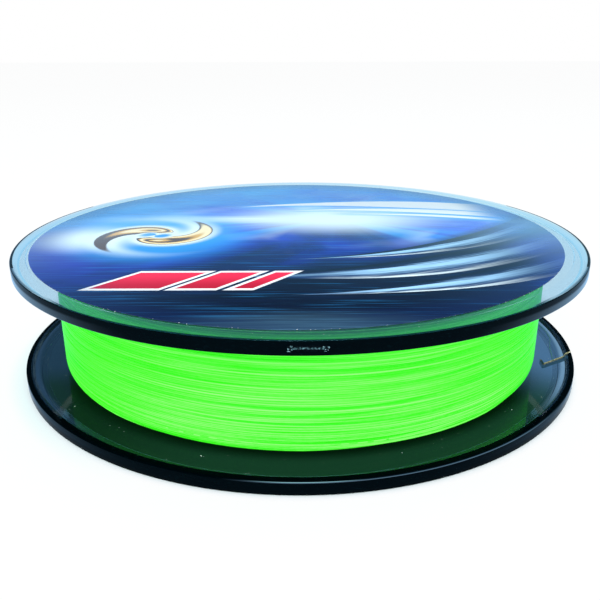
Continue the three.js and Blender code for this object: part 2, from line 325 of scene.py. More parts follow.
def cut_away(piece: Piece, cutters: Iterable[Piece]) -> None:
    """Cuts a piece with closed cutters, whose material stays on the cut walls.

    Args:
        piece: The piece, whose mesh is replaced.
        cutters: The cutters, which are deleted.
    """
    for cutter in cutters:
        cut = piece.modifiers.new("cut", "BOOLEAN")
        cut.operation = "DIFFERENCE"
        cut.solver = "EXACT"
        cut.material_mode = "TRANSFER"
        cut.object = cutter
        graph = bpy.context.evaluated_depsgraph_get()
        mesh = bpy.data.meshes.new_from_object(piece.evaluated_get(graph))
        piece.modifiers.clear()
        piece.data = mesh
        bpy.data.objects.remove(cutter, do_unlink=True)


def box_cutter(size: Vector, place: Matrix, material: Material) -> Piece:
    """Makes a box that cuts.

    Args:
        size: Its edge lengths.
        place: Its place and turn.
        material: Material that the cut walls take.

    Returns:
        The cutter.
    """
    bm = bmesh.new()
    bmesh.ops.create_cube(bm, size=1.0)
    bmesh.ops.scale(bm, vec=size, verts=bm.verts[:])
    bmesh.ops.transform(bm, matrix=place, verts=bm.verts[:])
    return make_piece("cutter", bm, [material])


# ---- Node tools ----


class Field:
    """A number that changes over a surface, with the arithmetic of plain numbers."""

    def __init__(self, tree: bpy.types.NodeTree, socket: Socket) -> None:
        """Wraps an output socket of a node tree."""
        self.tree = tree
        self.socket = socket

    def _math(self, operation: str, *inputs: "Field | float") -> "Field":
        """Adds a Math node.

        Args:
            operation: The node's operation.
            inputs: Fields and numbers that feed it.

        Returns:
            Its result.
        """
        node = self.tree.nodes.new("ShaderNodeMath")
        node.operation = operation
        for value, socket in zip(inputs, node.inputs):
            if isinstance(value, Field):
                self.tree.links.new(value.socket, socket)
            else:
                socket.default_value = value
        return Field(self.tree, node.outputs[0])

    def __add__(self, other: "Field | float") -> "Field":
        """Adds."""
        return self._math("ADD", self, other)

    def __sub__(self, other: "Field | float") -> "Field":
        """Takes away."""
        return self._math("SUBTRACT", self, other)

    def __rsub__(self, other: float) -> "Field":
        """Takes this away from a number."""
        return self._math("SUBTRACT", other, self)

    def __mul__(self, other: "Field | float") -> "Field":
        """Multiplies."""
        return self._math("MULTIPLY", self, other)

    def __truediv__(self, other: "Field | float") -> "Field":
        """Divides."""
        return self._math("DIVIDE", self, other)

    def __abs__(self) -> "Field":
        """Drops the sign."""
        return self._math("ABSOLUTE", self)

    def power(self, exponent: float) -> "Field":
        """Raises to a power."""
        return self._math("POWER", self, exponent)

    def sine(self) -> "Field":
        """Takes the sine."""
        return self._math("SINE", self)

    def fraction(self) -> "Field":
        """Drops the whole part."""
        return self._math("FRACT", self)

    def least(self, other: "Field | float") -> "Field":
        """Gives the lesser of two."""
        return self._math("MINIMUM", self, other)

    def most(self, other: "Field | float") -> "Field":
        """Gives the greater of two."""
        return self._math("MAXIMUM", self, other)

    def angle(self, across: "Field") -> "Field":
        """Gives the angle whose sine is in proportion to this and its cosine to across."""
        return self._math("ARCTAN2", self, across)

    def hypot(self, other: "Field") -> "Field":
        """Gives the length of the two as a plan vector."""
        return (self * self + other * other).power(0.5)

    def ramp(self, low: float, high: float, to_low: float = 0.0, to_high: float = 1.0) -> "Field":
        """Maps a range smoothly onto another and holds its ends.

        Args:
            low: Value that gives to_low.
            high: Value that gives to_high.
            to_low: Result at low.
            to_high: Result at high.

        Returns:
            The mapped field.
        """
        node = self.tree.nodes.new("ShaderNodeMapRange")
        node.interpolation_type = "SMOOTHSTEP"
        (start, to_start), (end, to_end) = sorted([(low, to_low), (high, to_high)])
        values = {"From Min": start, "From Max": end, "To Min": to_start, "To Max": to_end}
        for name, value in values.items():
            node.inputs[name].default_value = value
        self.tree.links.new(self.socket, node.inputs["Value"])
        return Field(self.tree, node.outputs["Result"])


class Painter:
    """Builds colours and textures in one node tree, with one colour that others are laid over."""

    def __init__(self, tree: bpy.types.NodeTree) -> None:
        """Starts on a node tree."""
        self.tree = tree
        self.colour: Colour | Socket = BLACK

    def put(self, node: Node, **inputs: object) -> None:
        """Sets or links a node's inputs.

        Args:
            node: The node.
            inputs: Numbers, colours, fields or sockets by the input's name, with _ for a space.
        """
        for name, value in inputs.items():
            socket = node.inputs[name.replace("_", " ")]
            if isinstance(value, Field):
                self.tree.links.new(value.socket, socket)
            elif isinstance(value, Socket):
                self.tree.links.new(value, socket)
            else:
                socket.default_value = (*value, 1.0) if socket.type == "RGBA" else value

    def node(self, kind: str, **inputs: object) -> Node:
        """Adds a node and sets its inputs.

        Args:
            kind: The node's type.
            inputs: As put takes them.

        Returns:
            The node.
        """
        node = self.tree.nodes.new(kind)
        self.put(node, **inputs)
        return node

    def place(self, effect: Effect, **inputs: float) -> Node:
        """Places a node group with its own values.

        Args:
            effect: The group.
            inputs: As put takes them.

        Returns:
            The group node.
        """
        node = self.tree.nodes.new("ShaderNodeGroup")
        node.node_tree = bpy.data.node_groups[effect.value]
        self.put(node, **inputs)
        return node

    def read(self, node: Node, output: str | int = 0) -> Field:
        """Reads a node's output as a field."""
        return Field(self.tree, node.outputs[output])

    def place_mm(self) -> tuple[Field, Field, Field]:
        """Reads a point's place on the object.

        Returns:
            Its X, Y and Z in millimetres.
        """
        coordinates = self.node("ShaderNodeTexCoord")
        split = self.node("ShaderNodeSeparateXYZ", Vector=coordinates.outputs["Object"])
        return tuple(self.read(split, axis) * (1.0 / MM) for axis in range(3))

    def ray_kinds(self) -> tuple[Node, Field, Field]:
        """Tells how a ray came.

        Returns:
            A Light Path node, whether the ray was refracted, and whether it was only mirrored.
        """
        path = self.node("ShaderNodeLightPath")
        through = self.read(path, "Is Transmission Ray")
        return path, through, (self.read(path, "Is Glossy Ray") - through).most(0.0)

    def vector(self, x: Field | float, y: Field | float, z: Field | float = 0.0) -> Socket:
        """Joins three fields as a vector."""
        return self.node("ShaderNodeCombineXYZ", X=x, Y=y, Z=z).outputs[0]

    def cloud(self, at: Socket, scale: float, detail: float = 2.0, distortion: float = 0.0) -> Field:
        """Adds soft noise about one half.

        Args:
            at: Vector that the noise is read at.
            scale: Cycles per unit of that vector.
            detail: Octaves.
            distortion: How far the noise is folded.

        Returns:
            The noise.
        """
        values = {"Scale": scale, "Detail": detail, "Distortion": distortion}
        return self.read(self.node("ShaderNodeTexNoise", Vector=at, **values))

    def bump(self, height: Field, distance: float, strength: Field | float) -> Socket:
        """Adds a bump of a distance in millimetres, and gives its normal."""
        node = self.node("ShaderNodeBump", Height=height, Distance=distance * MM, Strength=strength)
        return node.outputs[0]

    def mix(self, share: Field, low: Colour | Socket, high: Colour | Socket) -> Socket:
        """Mixes two colours.

        Args:
            share: Share of the second colour.
            low: First colour.
            high: Second colour.

        Returns:
            Socket of the mixed colour.
        """
        node = self.tree.nodes.new("ShaderNodeMix")
        node.data_type = "RGBA"
        self.tree.links.new(share.socket, node.inputs[0])
        for socket, colour in ((node.inputs[6], low), (node.inputs[7], high)):
            if isinstance(colour, Socket):
                self.tree.links.new(colour, socket)
            else:
                socket.default_value = (*colour, 1.0)
        return node.outputs[2]

    def lay(self, share: Field, colour: Colour | Socket) -> None:
        """Lays a share of a colour over the painter's own colour."""
        self.colour = self.mix(share, self.colour, colour)


class GroupPainter(Painter):
    """Paints one shader node group."""

    def __init__(self, effect: Effect, inputs: dict[str, float], outputs: dict[str, str]) -> None:
        """Starts the group.

        Args:
            effect: The group.
            inputs: Number inputs and their defaults.
            outputs: Outputs and their kinds of socket.
        """
        super().__init__(bpy.data.node_groups.new(effect.value, "ShaderNodeTree"))
        sockets = self.tree.interface
        for label, value in inputs.items():
            sockets.new_socket(label, in_out="INPUT", socket_type="NodeSocketFloat").default_value = value
        for label, kind in outputs.items():
            sockets.new_socket(label, in_out="OUTPUT", socket_type=f"NodeSocket{kind}")
        self.entry = self.tree.nodes.new("NodeGroupInput")
        self.leave = self.tree.nodes.new("NodeGroupOutput")


class MaterialPainter(Painter):
    """Paints one material, on its own shader."""

    def __init__(self, name: str) -> None:
        """Starts the material.

        Args:
            name: Its name.
        """
        self.material = bpy.data.materials.new(name)
        self.material.use_nodes = True
        super().__init__(self.material.node_tree)
        self.shader = self.tree.nodes["Principled BSDF"]

    def dress(self, **inputs: object) -> Material:
        """Sets or links the shader's inputs by name, and gives the material."""
        self.put(self.shader, **inputs)
        return self.material

    def marks(self, roughness: float, haze: float, depth: float) -> dict[str, Socket]:
        """Adds handling marks.

        Args:
            roughness: Roughness where there are none.
            haze: How much rougher the haze is.
            depth: Depth of the scratches.

        Returns:
            Sockets for the shader's roughness and normal.
        """
        group = self.place(Effect.MARKS, Roughness=roughness, Haze=haze, Scratch_Depth=depth)
        return {name: group.outputs[name] for name in ("Roughness", "Normal")}

    def grain(self, x: Field, y: Field, z: Field) -> tuple[Field, Socket]:
        """Adds the fine grain of raw plastic, and gives it with its normal."""
        grain = self.cloud(self.vector(x, y, z), 5.0, 4.0)
        return grain, self.bump(grain, 0.05, 0.6)


def build_handling_marks() -> None:
    """Builds the group of handling marks: broad haze and fine straight scratches."""
    inputs = {"Roughness": 0.1, "Haze": 0.05, "Scratch Depth": 0.02}
    painter = GroupPainter(Effect.MARKS, inputs, {"Roughness": "Float", "Normal": "Vector"})
    base, haziness, depth = (painter.read(painter.entry, label) for label in inputs)
    x, y, z = painter.place_mm()
    haze = painter.cloud(painter.vector(x, y, z), 0.09, 3.0)
    scratches = None
    for turn, spacing in ((0.35, 1.3), (-0.9, 1.7), (1.7, 1.1)):
        along = x * math.cos(turn) + y * math.sin(turn)
        across = y * math.cos(turn) - x * math.sin(turn)
        streak = painter.cloud(painter.vector(along * 0.05, across * spacing, z), 1.0, 1.0)
        gate = painter.cloud(painter.vector(along * 0.11, across * 0.3, z), 1.0).ramp(0.58, 0.66)
        mark = abs(streak - 0.5).ramp(0.012, 0.0) * gate
        scratches = mark if scratches is None else scratches.most(mark)
    rough = base + haziness * haze.ramp(0.35, 0.75) + scratches * 0.1
    painter.put(painter.leave, Roughness=rough, Normal=painter.bump(scratches * -1.0, 0.01, depth))


def build_braid() -> None:
    """Builds the group of braid, on a strand's own UV map, which runs in millimetres along it."""
    inputs = {"Picks per mm": 2.6, "Weave Depth": 0.5}
    painter = GroupPainter(Effect.BRAID, inputs, {"Tone": "Float", "Weave": "Float", "Normal": "Vector"})
    picks, depth = (painter.read(painter.entry, label) for label in inputs)
    unwrapped = painter.node("ShaderNodeUVMap")
    split = painter.node("ShaderNodeSeparateXYZ", Vector=unwrapped.outputs[0])
    along = painter.read(split, 0)
    around = painter.read(split, 1)
    left = ((along * picks + around * 2.0) * math.pi).sine()
    right = ((along * picks - around * 2.0) * math.pi).sine()
    weave = abs(left * right).power(0.5)
    tone = painter.cloud(painter.vector(along * 0.018, 0.0), 1.0, 2.0)
    fleck = painter.cloud(painter.vector(along * 1.4, around * 2.0), 1.0, 2.0)
    normal = painter.bump(weave, 0.03, depth)
    painter.put(painter.leave, Tone=tone * 0.90 + fleck * 0.10, Weave=weave, Normal=normal)


def build_under_light() -> None:
    """Builds the group of painted dim light under the lower flange: green in front, navy left, paler right,
    and darker next to the winding as painted shade.
    """
    painter = GroupPainter(Effect.UNDER_LIGHT, {}, {"Color": "Color"})
    x, y, _ = painter.place_mm()
    painted_shade_near_winding = seen_at_radius(x, y).ramp(43.0, 40.3) * y.ramp(-8.0, -24.0)
    painter.colour = (0.0088, 0.041, 0.016)
    painter.lay(x.ramp(-8.0, -34.0), (0.004, 0.020, 0.007))
    # Painted shade next to the winding.
    painter.lay(painted_shade_near_winding, (0.0012, 0.009, 0.0025))
    painter.lay(x.ramp(-30.0, -40.0) * y.ramp(-21.0, -12.0), (0.0125, 0.030, 0.046))
    painter.lay(x.ramp(31.0, 41.0) * y.ramp(-28.0, -12.0), (0.088, 0.152, 0.240))
    painter.put(painter.leave, Color=painter.colour)


def seen_at_radius(x: Field, y: Field) -> Field:
    """Gives the radius, on the flange, of what the photograph's view shows over a point of the floor."""
    return (x * 0.98).hypot(y - 2.2)


# ---- Finishes ----


@dataclass(frozen=True)
class SmokePlastic:
    """Clear plastic with a blue smoke tint that deepens with thickness, polished on its outer faces, with
    painted shade near black along the upper face's outer edge towards the front corners.
    """

    sizes: SpoolSizes
    ior: float = 1.18
    coat_ior: float = 1.5
    coat_roughness: float = 0.02
    density: float = 235.0
    tint: Colour = (0.11, 0.72, 0.99)
    painted_shade_colour: Colour = (0.0, 0.0008, 0.004)

    def make(self) -> Material:
        """Makes the material.

        Returns:
            The material.
        """
        painter = MaterialPainter("smoke_plastic")
        x, y, z = painter.place_mm()
        edge = self.sizes.flange_radius / MM
        middle = self.sizes.height / MM / 2.0
        radius = x.hypot(y)
        outer_face = abs(z - middle).ramp(middle - 0.35, middle - 0.25)
        at_front_corners = (abs(x) / radius).ramp(0.50, 0.85) * y.ramp(12.0, 3.0)
        at_top = z.ramp(middle + 8.5, middle + 9.5)
        # Painted shade: the outer edge of the upper face turns near black towards the front corners.
        painted_shade_share = radius.ramp(edge - 0.62, edge - 0.25) * at_front_corners * at_top
        absorb = painter.node("ShaderNodeVolumeAbsorption", Color=self.tint, Density=self.density)
        painter.put(painter.tree.nodes["Material Output"], Volume=absorb.outputs[0])
        return painter.dress(
            Base_Color=painter.mix(painted_shade_share, WHITE, self.painted_shade_colour),
            IOR=self.ior,
            Transmission_Weight=1.0,
            Coat_Weight=outer_face * radius.ramp(edge - 0.06, edge - 0.18, 0.15, 1.0),
            Coat_Roughness=self.coat_roughness,
            Coat_IOR=self.coat_ior,
            **painter.marks(0.02, 0.03, 0.03),
        )


@dataclass(frozen=True)
class RimPlastic:
    """The same plastic at the rim: nearly black from outside, and glowing on its inner side with painted
    light that stands in for light piped through the plastic.
    """

    name: str
    sizes: SpoolSizes
    painted_piped_light: Colour
    gloss: float = 1.0
    streak: float = 0.0
    coat_ior: float = 1.5
    coat_roughness: float = 0.05
    ior: float = 1.5
    specular: float = 0.03
    colour: Colour = (0.0, 0.0012, 0.0020)
    lighter_part: Colour = (0.0003, 0.0035, 0.0050)

    def make(self) -> Material:
        """Makes the material.

        Returns:
            The material.
        """
        painter = MaterialPainter(self.name)
        x, y, z = painter.place_mm()
        middle = self.sizes.height / MM / 2.0
        rubbed = painter.cloud(painter.vector(x, y, z * 4.0), 1.6, 4.0).ramp(0.55, 0.75)
        facing = painter.read(painter.node("ShaderNodeLayerWeight"), "Facing")
        straight = abs(z - middle).ramp(middle - 0.70, middle - 1.10)
        glance = facing.ramp(0.30, 0.70) * straight * self.gloss
        lip_corner = x.hypot(y).ramp(46.35, 46.42) * z.ramp(1.50, 1.65)
        # Painted highlight: the lip corner's glossy coat is laid only along the front, where it shows a
        # bright streak.
        highlight = x.ramp(-10.0, -1.0) * x.ramp(40.0, 26.0) * lip_corner * self.streak
        behind = painter.read(painter.node("ShaderNodeNewGeometry"), "Backfacing")
        return painter.dress(
            Base_Color=painter.mix(rubbed, self.colour, self.lighter_part),
            IOR=self.ior,
            Specular_IOR_Level=self.specular,
            Coat_Weight=glance.most(highlight),
            Coat_Roughness=self.coat_roughness,
            Coat_IOR=self.coat_ior,
            # Painted light: faces seen from behind, inside the plastic, glow with a fixed colour.
            Emission_Color=painter.mix(behind, BLACK, self.painted_piped_light),
            Emission_Strength=1.0,
            **painter.marks(0.06, 0.06, 0.1),
        )


@dataclass(frozen=True)
class CutPlastic:
    """Rough places: raw plastic where the moulding was cut or torn, a label's back, which can glow with
    painted light from under the flange, and dust.
    """

    name: str
    colour: Colour
    pale: Colour
    roughness: float
    specular: float = 0.5
    lit_from_below: bool = False

    def make(self) -> Material:
        """Makes the material.

        Returns:
            The material.
        """
        painter = MaterialPainter(self.name)
        grain, normal = painter.grain(*painter.place_mm())
        if self.lit_from_below:
            # Painted light: the surface glows with the dim light under the flange.
            painted_seep_glow = painter.place(Effect.UNDER_LIGHT)
            painter.dress(Emission_Color=painted_seep_glow.outputs["Color"], Emission_Strength=1.0)
        return painter.dress(
            Base_Color=painter.mix(grain.ramp(0.4, 0.62), self.colour, self.pale),
            Roughness=grain.ramp(0.3, 0.7, self.roughness, self.roughness + 0.25),
            Specular_IOR_Level=self.specular,
            Normal=normal,
        )


@dataclass(frozen=True)
class SlitPlastic:
    """The slit's walls: straw-coloured at the top as a painted highlight where the wall catches light, and
    dark below as painted shade, with a faint painted glow there.
    """

    name: str
    dark: Colour = (0.02, 0.035, 0.035)
    straw: Colour = (0.32, 0.28, 0.11)
    pale: Colour = (0.66, 0.62, 0.40)
    painted_seep_glow: Colour = (0.016, 0.048, 0.072)
    painted_light_from: float = 1.05
    painted_light_to: float = 1.45
    roughness: float = 0.45

    def make(self) -> Material:
        """Makes the material.

        Returns:
            The material.
        """
        painter = MaterialPainter(self.name)
        x, y, z = painter.place_mm()
        grain, normal = painter.grain(x, y, z)
        painted_lit_wall = painter.mix(grain.ramp(0.35, 0.62), self.straw, self.pale)
        # Painted light and shade: the wall is straw near the top, where it is lit, and dark below with a
        # faint painted glow.
        lighter_part = z.ramp(self.painted_light_from, self.painted_light_to)
        return painter.dress(
            Base_Color=painter.mix(lighter_part, self.dark, painted_lit_wall),
            Emission_Color=painter.mix(lighter_part, self.painted_seep_glow, BLACK),
            Emission_Strength=1.0,
            Roughness=self.roughness,
            Normal=normal,
        )


@dataclass(frozen=True)
class BraidedLine:
    """Neon green braided line with a painted glow that keeps it a little brighter than its light, painted
    shade under the upper flange, behind the plastic and in its reflections low down and at the left, and a
    painted sheen where it faces the view.
    """

    name: str
    deep: Colour = (0.026, 0.28, 0.008)
    middle: Colour = (0.050, 0.36, 0.016)
    bright: Colour = (0.12, 0.46, 0.065)
    glow_deep: Colour = (0.016, 0.62, 0.003)
    glow: Colour = (0.034, 0.70, 0.006)
    glow_pale: Colour = (0.19, 0.74, 0.135)
    glow_strength: float = 1.0
    lit_through_plastic: float = 0.45
    shaded_deep: Colour = (0.008, 0.050, 0.008)
    shaded: Colour = (0.030, 0.17, 0.025)
    shaded_above: float = 18.3
    fully_lit_below: float = 16.0
    roughness: float = 0.34
    specular: float = 0.25

    def make(self) -> Material:
        """Makes the material.

        Returns:
            The material.
        """
        painter = MaterialPainter(self.name)
        strand = painter.place(Effect.BRAID, Picks_per_mm=2.6, Weave_Depth=0.25)
        tone = painter.read(strand, "Tone")
        weave = painter.read(strand, "Weave").ramp(0.0, 0.9)
        x, _, height = painter.place_mm()
        _, through, mirrored = painter.ray_kinds()
        # Painted shade: darker under the upper flange and where it is seen through the plastic.
        lit = height.ramp(self.shaded_above, self.fully_lit_below) * (1.0 - through * (1.0 - self.lit_through_plastic))
        # Painted shade in reflections: darker low down and at the left.
        unlit = height.ramp(7.5, 3.8, 0.0, 0.88).most(x.ramp(-8.0, -26.0, 0.0, 0.8))
        lit = lit * (1.0 - mirrored * unlit)
        shaded = painter.mix(tone.ramp(0.38, 0.64), self.shaded_deep, self.shaded)
        colour = painter.mix(tone.ramp(0.36, 0.52) * 0.9 + weave * 0.1, self.deep, self.middle)
        colour = painter.mix(tone.ramp(0.50, 0.68), colour, self.bright)
        facing = painter.read(painter.node("ShaderNodeLayerWeight"), "Facing")
        # Painted sheen: the glow turns paler where the line faces the view, more so low down and at the
        # right.
        painted_sheen = facing.ramp(0.62, 0.06) * tone.ramp(0.38, 0.60) * height.ramp(17.0, 3.0, 0.72, 1.60)
        painted_sheen = painted_sheen * x.ramp(-42.0, -12.0, 0.36, 1.0) * x.ramp(8.0, 36.0, 1.0, 1.45)
        glow = painter.mix(tone.ramp(0.34, 0.54), self.glow_deep, self.glow)
        glow = painter.mix(painted_sheen * (1.0 - through), glow, self.glow_pale)
        # The glow is painted light.
        return painter.dress(
            Base_Color=painter.mix(lit, shaded, colour),
            Emission_Color=painter.mix(lit, BLACK, glow),
            Emission_Strength=self.glow_strength,
            Roughness=self.roughness,
            Specular_IOR_Level=self.specular,
            Normal=strand.outputs["Normal"],
        )


@dataclass(frozen=True)
class DrumPlastic:
    """Plain moulded plastic of the drum, with faint flow marks."""

    colour: Colour = (0.03, 0.036, 0.048)
    pale: Colour = (0.06, 0.07, 0.09)

    def make(self) -> Material:
        """Makes the material.

        Returns:
            The material.
        """
        painter = MaterialPainter("drum_plastic")
        x, y, z = painter.place_mm()
        flow = painter.cloud(painter.vector(x, y, z * 0.3), 0.25, 3.0, 1.5)
        colour = painter.mix(flow.ramp(0.35, 0.65), self.colour, self.pale)
        return painter.dress(Base_Color=colour, **painter.marks(0.35, 0.2, 0.1))


@dataclass(frozen=True)
class TapeFilm:
    """Thin straw-coloured tape with a fine crepe."""

    colour: Colour = (0.62, 0.54, 0.30)
    pale: Colour = (0.78, 0.72, 0.50)
    roughness: float = 0.55

    def make(self) -> Material:
        """Makes the material.

        Returns:
            The material.
        """
        painter = MaterialPainter("anchor_tape")
        x, y, z = painter.place_mm()
        crepe = painter.cloud(painter.vector(x * 0.6, y * 0.6, z * 4.0), 1.0, 3.0)
        colour = painter.mix(crepe, self.colour, self.pale)
        normal = painter.bump(crepe, 0.05, 0.5)
        return painter.dress(Base_Color=colour, Normal=normal, Roughness=self.roughness)


class LabelPainter(MaterialPainter):
    """Paints a label's print, on coordinates from the label's own middle."""

    def __init__(self, name: str, middle: float = 0.0) -> None:
        """Starts the print.

        Args:
            name: Name of the material.
            middle: X of the label's middle, in millimetres.
        """
        super().__init__(name)
        self.x, self.y, self.z = self.place_mm()
        if middle:
            self.x = self.x - middle


@dataclass(frozen=True)
class UpperPrint:
    """The upper label's generic print: light in deep water, steel blades, a gold whirl, and bars."""

    sizes: SpoolSizes
    ink: Colour = (0.002, 0.006, 0.022)
    navy: Colour = (0.005, 0.018, 0.10)
    royal: Colour = (0.012, 0.062, 0.74)
    violet: Colour = (0.050, 0.045, 0.46)
    sky: Colour = (0.03, 0.42, 0.98)
    foam: Colour = (0.80, 0.95, 1.0)
    spray: Colour = (0.11, 0.27, 0.36)
    steel_dark: Colour = (0.003, 0.008, 0.018)
    steel: Colour = (0.014, 0.045, 0.14)
    steel_light: Colour = (0.38, 0.68, 0.98)
    gold_dark: Colour = (0.10, 0.045, 0.008)
    gold: Colour = (0.74, 0.43, 0.08)
    gold_light: Colour = (1.0, 0.86, 0.50)
    red: Colour = (0.92, 0.016, 0.065)
    red_dark: Colour = (0.50, 0.002, 0.022)
    white: Colour = (0.94, 0.97, 1.0)

    def _water(self, p: LabelPainter) -> None:
        """Paints deep water, darkest at the front, with a burst and a beam of light in it.

        Args:
            p: The label's painter.
        """
        x, y = p.x, p.y
        murk = p.cloud(p.vector(x * 0.8, y), 0.05, 3.0, 0.7)
        level = y * 0.013 + abs(x - 4.0) * 0.009 + (murk - 0.5) * 0.8
        streak = p.cloud(p.vector(x * 0.06, y * 2.2), 1.0, 3.0)
        p.colour = self.ink
        p.lay(level.ramp(-0.34, -0.08), self.navy)
        p.lay(level.ramp(-0.14, 0.20), self.royal)
        p.lay(x.ramp(-10.0, -38.0) * level.ramp(-0.2, 0.2) * 0.6, self.violet)
        p.lay(level.ramp(0.26, 0.66) * 0.85, self.sky)
        p.lay(streak.ramp(0.52, 0.78) * 0.30, self.sky)
        p.lay(streak.ramp(0.48, 0.25) * 0.5, self.navy)
        burst_x = (x - 7.0) * 0.55
        burst_y = y - 10.0
        away = burst_x.hypot(burst_y)
        lean = burst_y.angle(burst_x)
        ray = p.cloud(p.vector(lean.sine() * 3.2, lean * 2.4), 1.0, 2.0).ramp(0.42, 0.66)
        p.lay(ray * away.ramp(27.0, 6.0) * 0.8, self.sky)
        stirred = p.vector(x + murk * 22.0, y * 1.2 + murk * 18.0)
        cells = p.node("ShaderNodeTexVoronoi", Vector=stirred, Scale=0.15)
        cells.feature = "SMOOTH_F1"
        p.lay(p.read(cells).ramp(0.50, 1.0) * away.ramp(26.0, 7.0) * 0.6, self.foam)
        haze = ((x - 2.0) * 0.62).hypot((y + 43.5) * 1.9).ramp(14.0, 1.0)
        p.lay(haze * (streak * 1.3 - 0.2).most(0.0), self.spray)
        p.lay(away.ramp(14.0, 2.0) * 0.98, self.foam)
        off_beam = y - 9.0 - (x + 20.0) * 0.04 - (murk - 0.5) * 5.0
        beam = abs(off_beam).ramp(4.2, 0.4) * x.ramp(14.0, -6.0) * x.ramp(-40.0, -18.0)
        p.lay(beam * (streak * 0.9 + 0.35), self.foam)

    def _blades(self, p: LabelPainter) -> None:
        """Paints brushed steel blades that sweep round the front right, pointed at their left ends.

        Args:
            p: The label's painter.
        """
        x = p.x
        bend = (x + 6.0).hypot(p.y - 46.0)
        brushed = p.cloud(p.vector(x * 0.12, bend * 2.6), 1.0, 3.0)
        gleam = x.ramp(0.0, 14.0) * x.ramp(42.0, 20.0)
        for radius, reach, width in ((62.5, -4.0, 3.6), (70.2, -16.0, 4.4), (78.2, -4.0, 3.8)):
            grow = x.ramp(reach, reach + 42.0)
            across = (bend - radius) / width
            inside = grow - abs(across)
            turn = across / grow.most(0.08) * 0.5 + 0.5 + (brushed - 0.5) * 0.5
            metal = p.mix(turn.ramp(0.08, 0.50), self.steel_dark, self.steel)
            light = turn.ramp(0.28, 0.48) * turn.ramp(0.80, 0.52)
            metal = p.mix(light * (gleam * 0.7 + 0.3), metal, self.steel_light)
            metal = p.mix(turn.ramp(0.78, 0.98) * gleam, metal, self.foam)
            p.lay(inside.ramp(-0.7, 0.0) * grow * x.ramp(43.0, 26.0, 0.2, 0.75), self.ink)
            p.lay(inside.ramp(0.0, 0.05) * x.ramp(43.0, 26.0, 0.25, 1.0), metal)

    def _whirl(self, p: LabelPainter) -> None:
        """Paints a gold whirl of two arms, with a white halo, at the left.

        Args:
            p: The label's painter.
        """
        x, y = p.x + 24.0, p.y + 2.0
        radius = x.hypot(y)
        lean = y.angle(x)
        arms = (lean * 2.0 - radius * 0.60).sine()
        narrow = ((14.5 - radius) * 0.11).most(0.0)
        body = arms - 1.16 + narrow * narrow * 1.25 - radius.ramp(3.6, 0.6) * 3.0
        p.lay(radius.ramp(19.0, 9.0) * 0.7, self.sky)
        p.lay((p.x + 35.0).hypot((p.y + 4.0) * 1.1).ramp(12.0, 1.0) * 0.95, self.foam)
        p.lay(radius.ramp(14.5, 7.0) * body.ramp(-1.5, -0.2), self.foam)
        shine = (body * 5.2 + lean).sine() * 0.5 + 0.5
        metal = p.mix(shine.ramp(0.05, 0.55), self.gold_dark, self.gold)
        metal = p.mix(shine.ramp(0.60, 0.95), metal, self.gold_light)
        metal = p.mix(body.ramp(0.16, 0.04), metal, self.gold_dark)
        p.lay(body.ramp(-0.05, 0.05), metal)

    def _stripes(self, p: LabelPainter) -> None:
        """Paints white stripes that follow one wide curve at the back right and thin out to the left.

        Args:
            p: The label's painter.
        """
        x = p.x
        bend = (x - 10.0).hypot(p.y + 62.0)
        for radius, width, reach in ((84.5, 3.2, -12.0), (79.2, 1.6, -3.0), (75.6, 0.8, 5.0)):
            outside = abs(bend - radius) - x.ramp(reach, 30.0, 0.1, 1.0) * width
            ends = x.ramp(reach, reach + 6.0) * x.ramp(39.0, 31.0)
            p.lay(outside.ramp(1.8, 0.0) * ends * 0.55, self.sky)
            p.lay(outside.ramp(0.18, -0.18) * ends, self.white)

    def _bars(self, p: LabelPainter) -> None:
        """Paints slanted red bars with white edges at the front.

        Args:
            p: The label's painter.
        """
        y = p.y + 26.0
        slant = p.x - y * 0.8
        red = p.mix(y.ramp(3.2, -3.2), self.red, self.red_dark)
        for centre, half in ((-20.0, 4.6), (-10.6, 2.7), (-4.3, 1.3)):
            inside = (half - abs(slant - centre)).least(3.4 - abs(y))
            p.lay(inside.ramp(-0.85, -0.6), self.white)
            p.lay(inside.ramp(-0.12, 0.10), red)

    def make(self) -> Material:
        """Makes the material.

        Returns:
            The material.
        """
        p = LabelPainter("upper_label_print", -self.sizes.label_offset / MM)
        for motif in (self._water, self._blades, self._whirl, self._stripes, self._bars):
            motif(p)
        p.lay(p.x.hypot(p.y).ramp(36.0, 43.0) * 0.45, self.navy)
        return p.dress(Base_Color=p.colour, IOR=1.5, **p.marks(0.12, 0.06, 0.15))


@dataclass(frozen=True)
class LowerPrint:
    """The lower label's print: pale film with blue rings and a ring of plain length marks."""

    film: Colour = (0.78, 0.82, 0.88)
    blue: Colour = (0.02, 0.07, 0.42)
    grey: Colour = (0.30, 0.36, 0.44)
    ticks: float = 60.0

    def make(self) -> Material:
        """Makes the material.

        Returns:
            The material.
        """
        p = LabelPainter("lower_label_print")
        radius = p.x.hypot(p.y)
        p.colour = self.film
        p.lay(p.cloud(p.vector(p.x, p.y, p.z), 1.8, 4.0).ramp(0.3, 0.7) * 0.12, self.grey)
        for ring, half in ((38.6, 2.4), (34.6, 0.35), (14.2, 0.9)):
            p.lay((half - abs(radius - ring)).ramp(-0.08, 0.08), self.blue)
        turn = p.y.angle(p.x) * (self.ticks / math.tau)
        tick = (abs(turn.fraction() - 0.5) - 0.1).ramp(0.02, -0.02)
        p.lay(tick * (1.2 - abs(radius - 31.6)).ramp(-0.08, 0.08), self.grey)
        return p.dress(Base_Color=p.colour, **p.marks(0.32, 0.15, 0.2))


# ---- Pieces ----


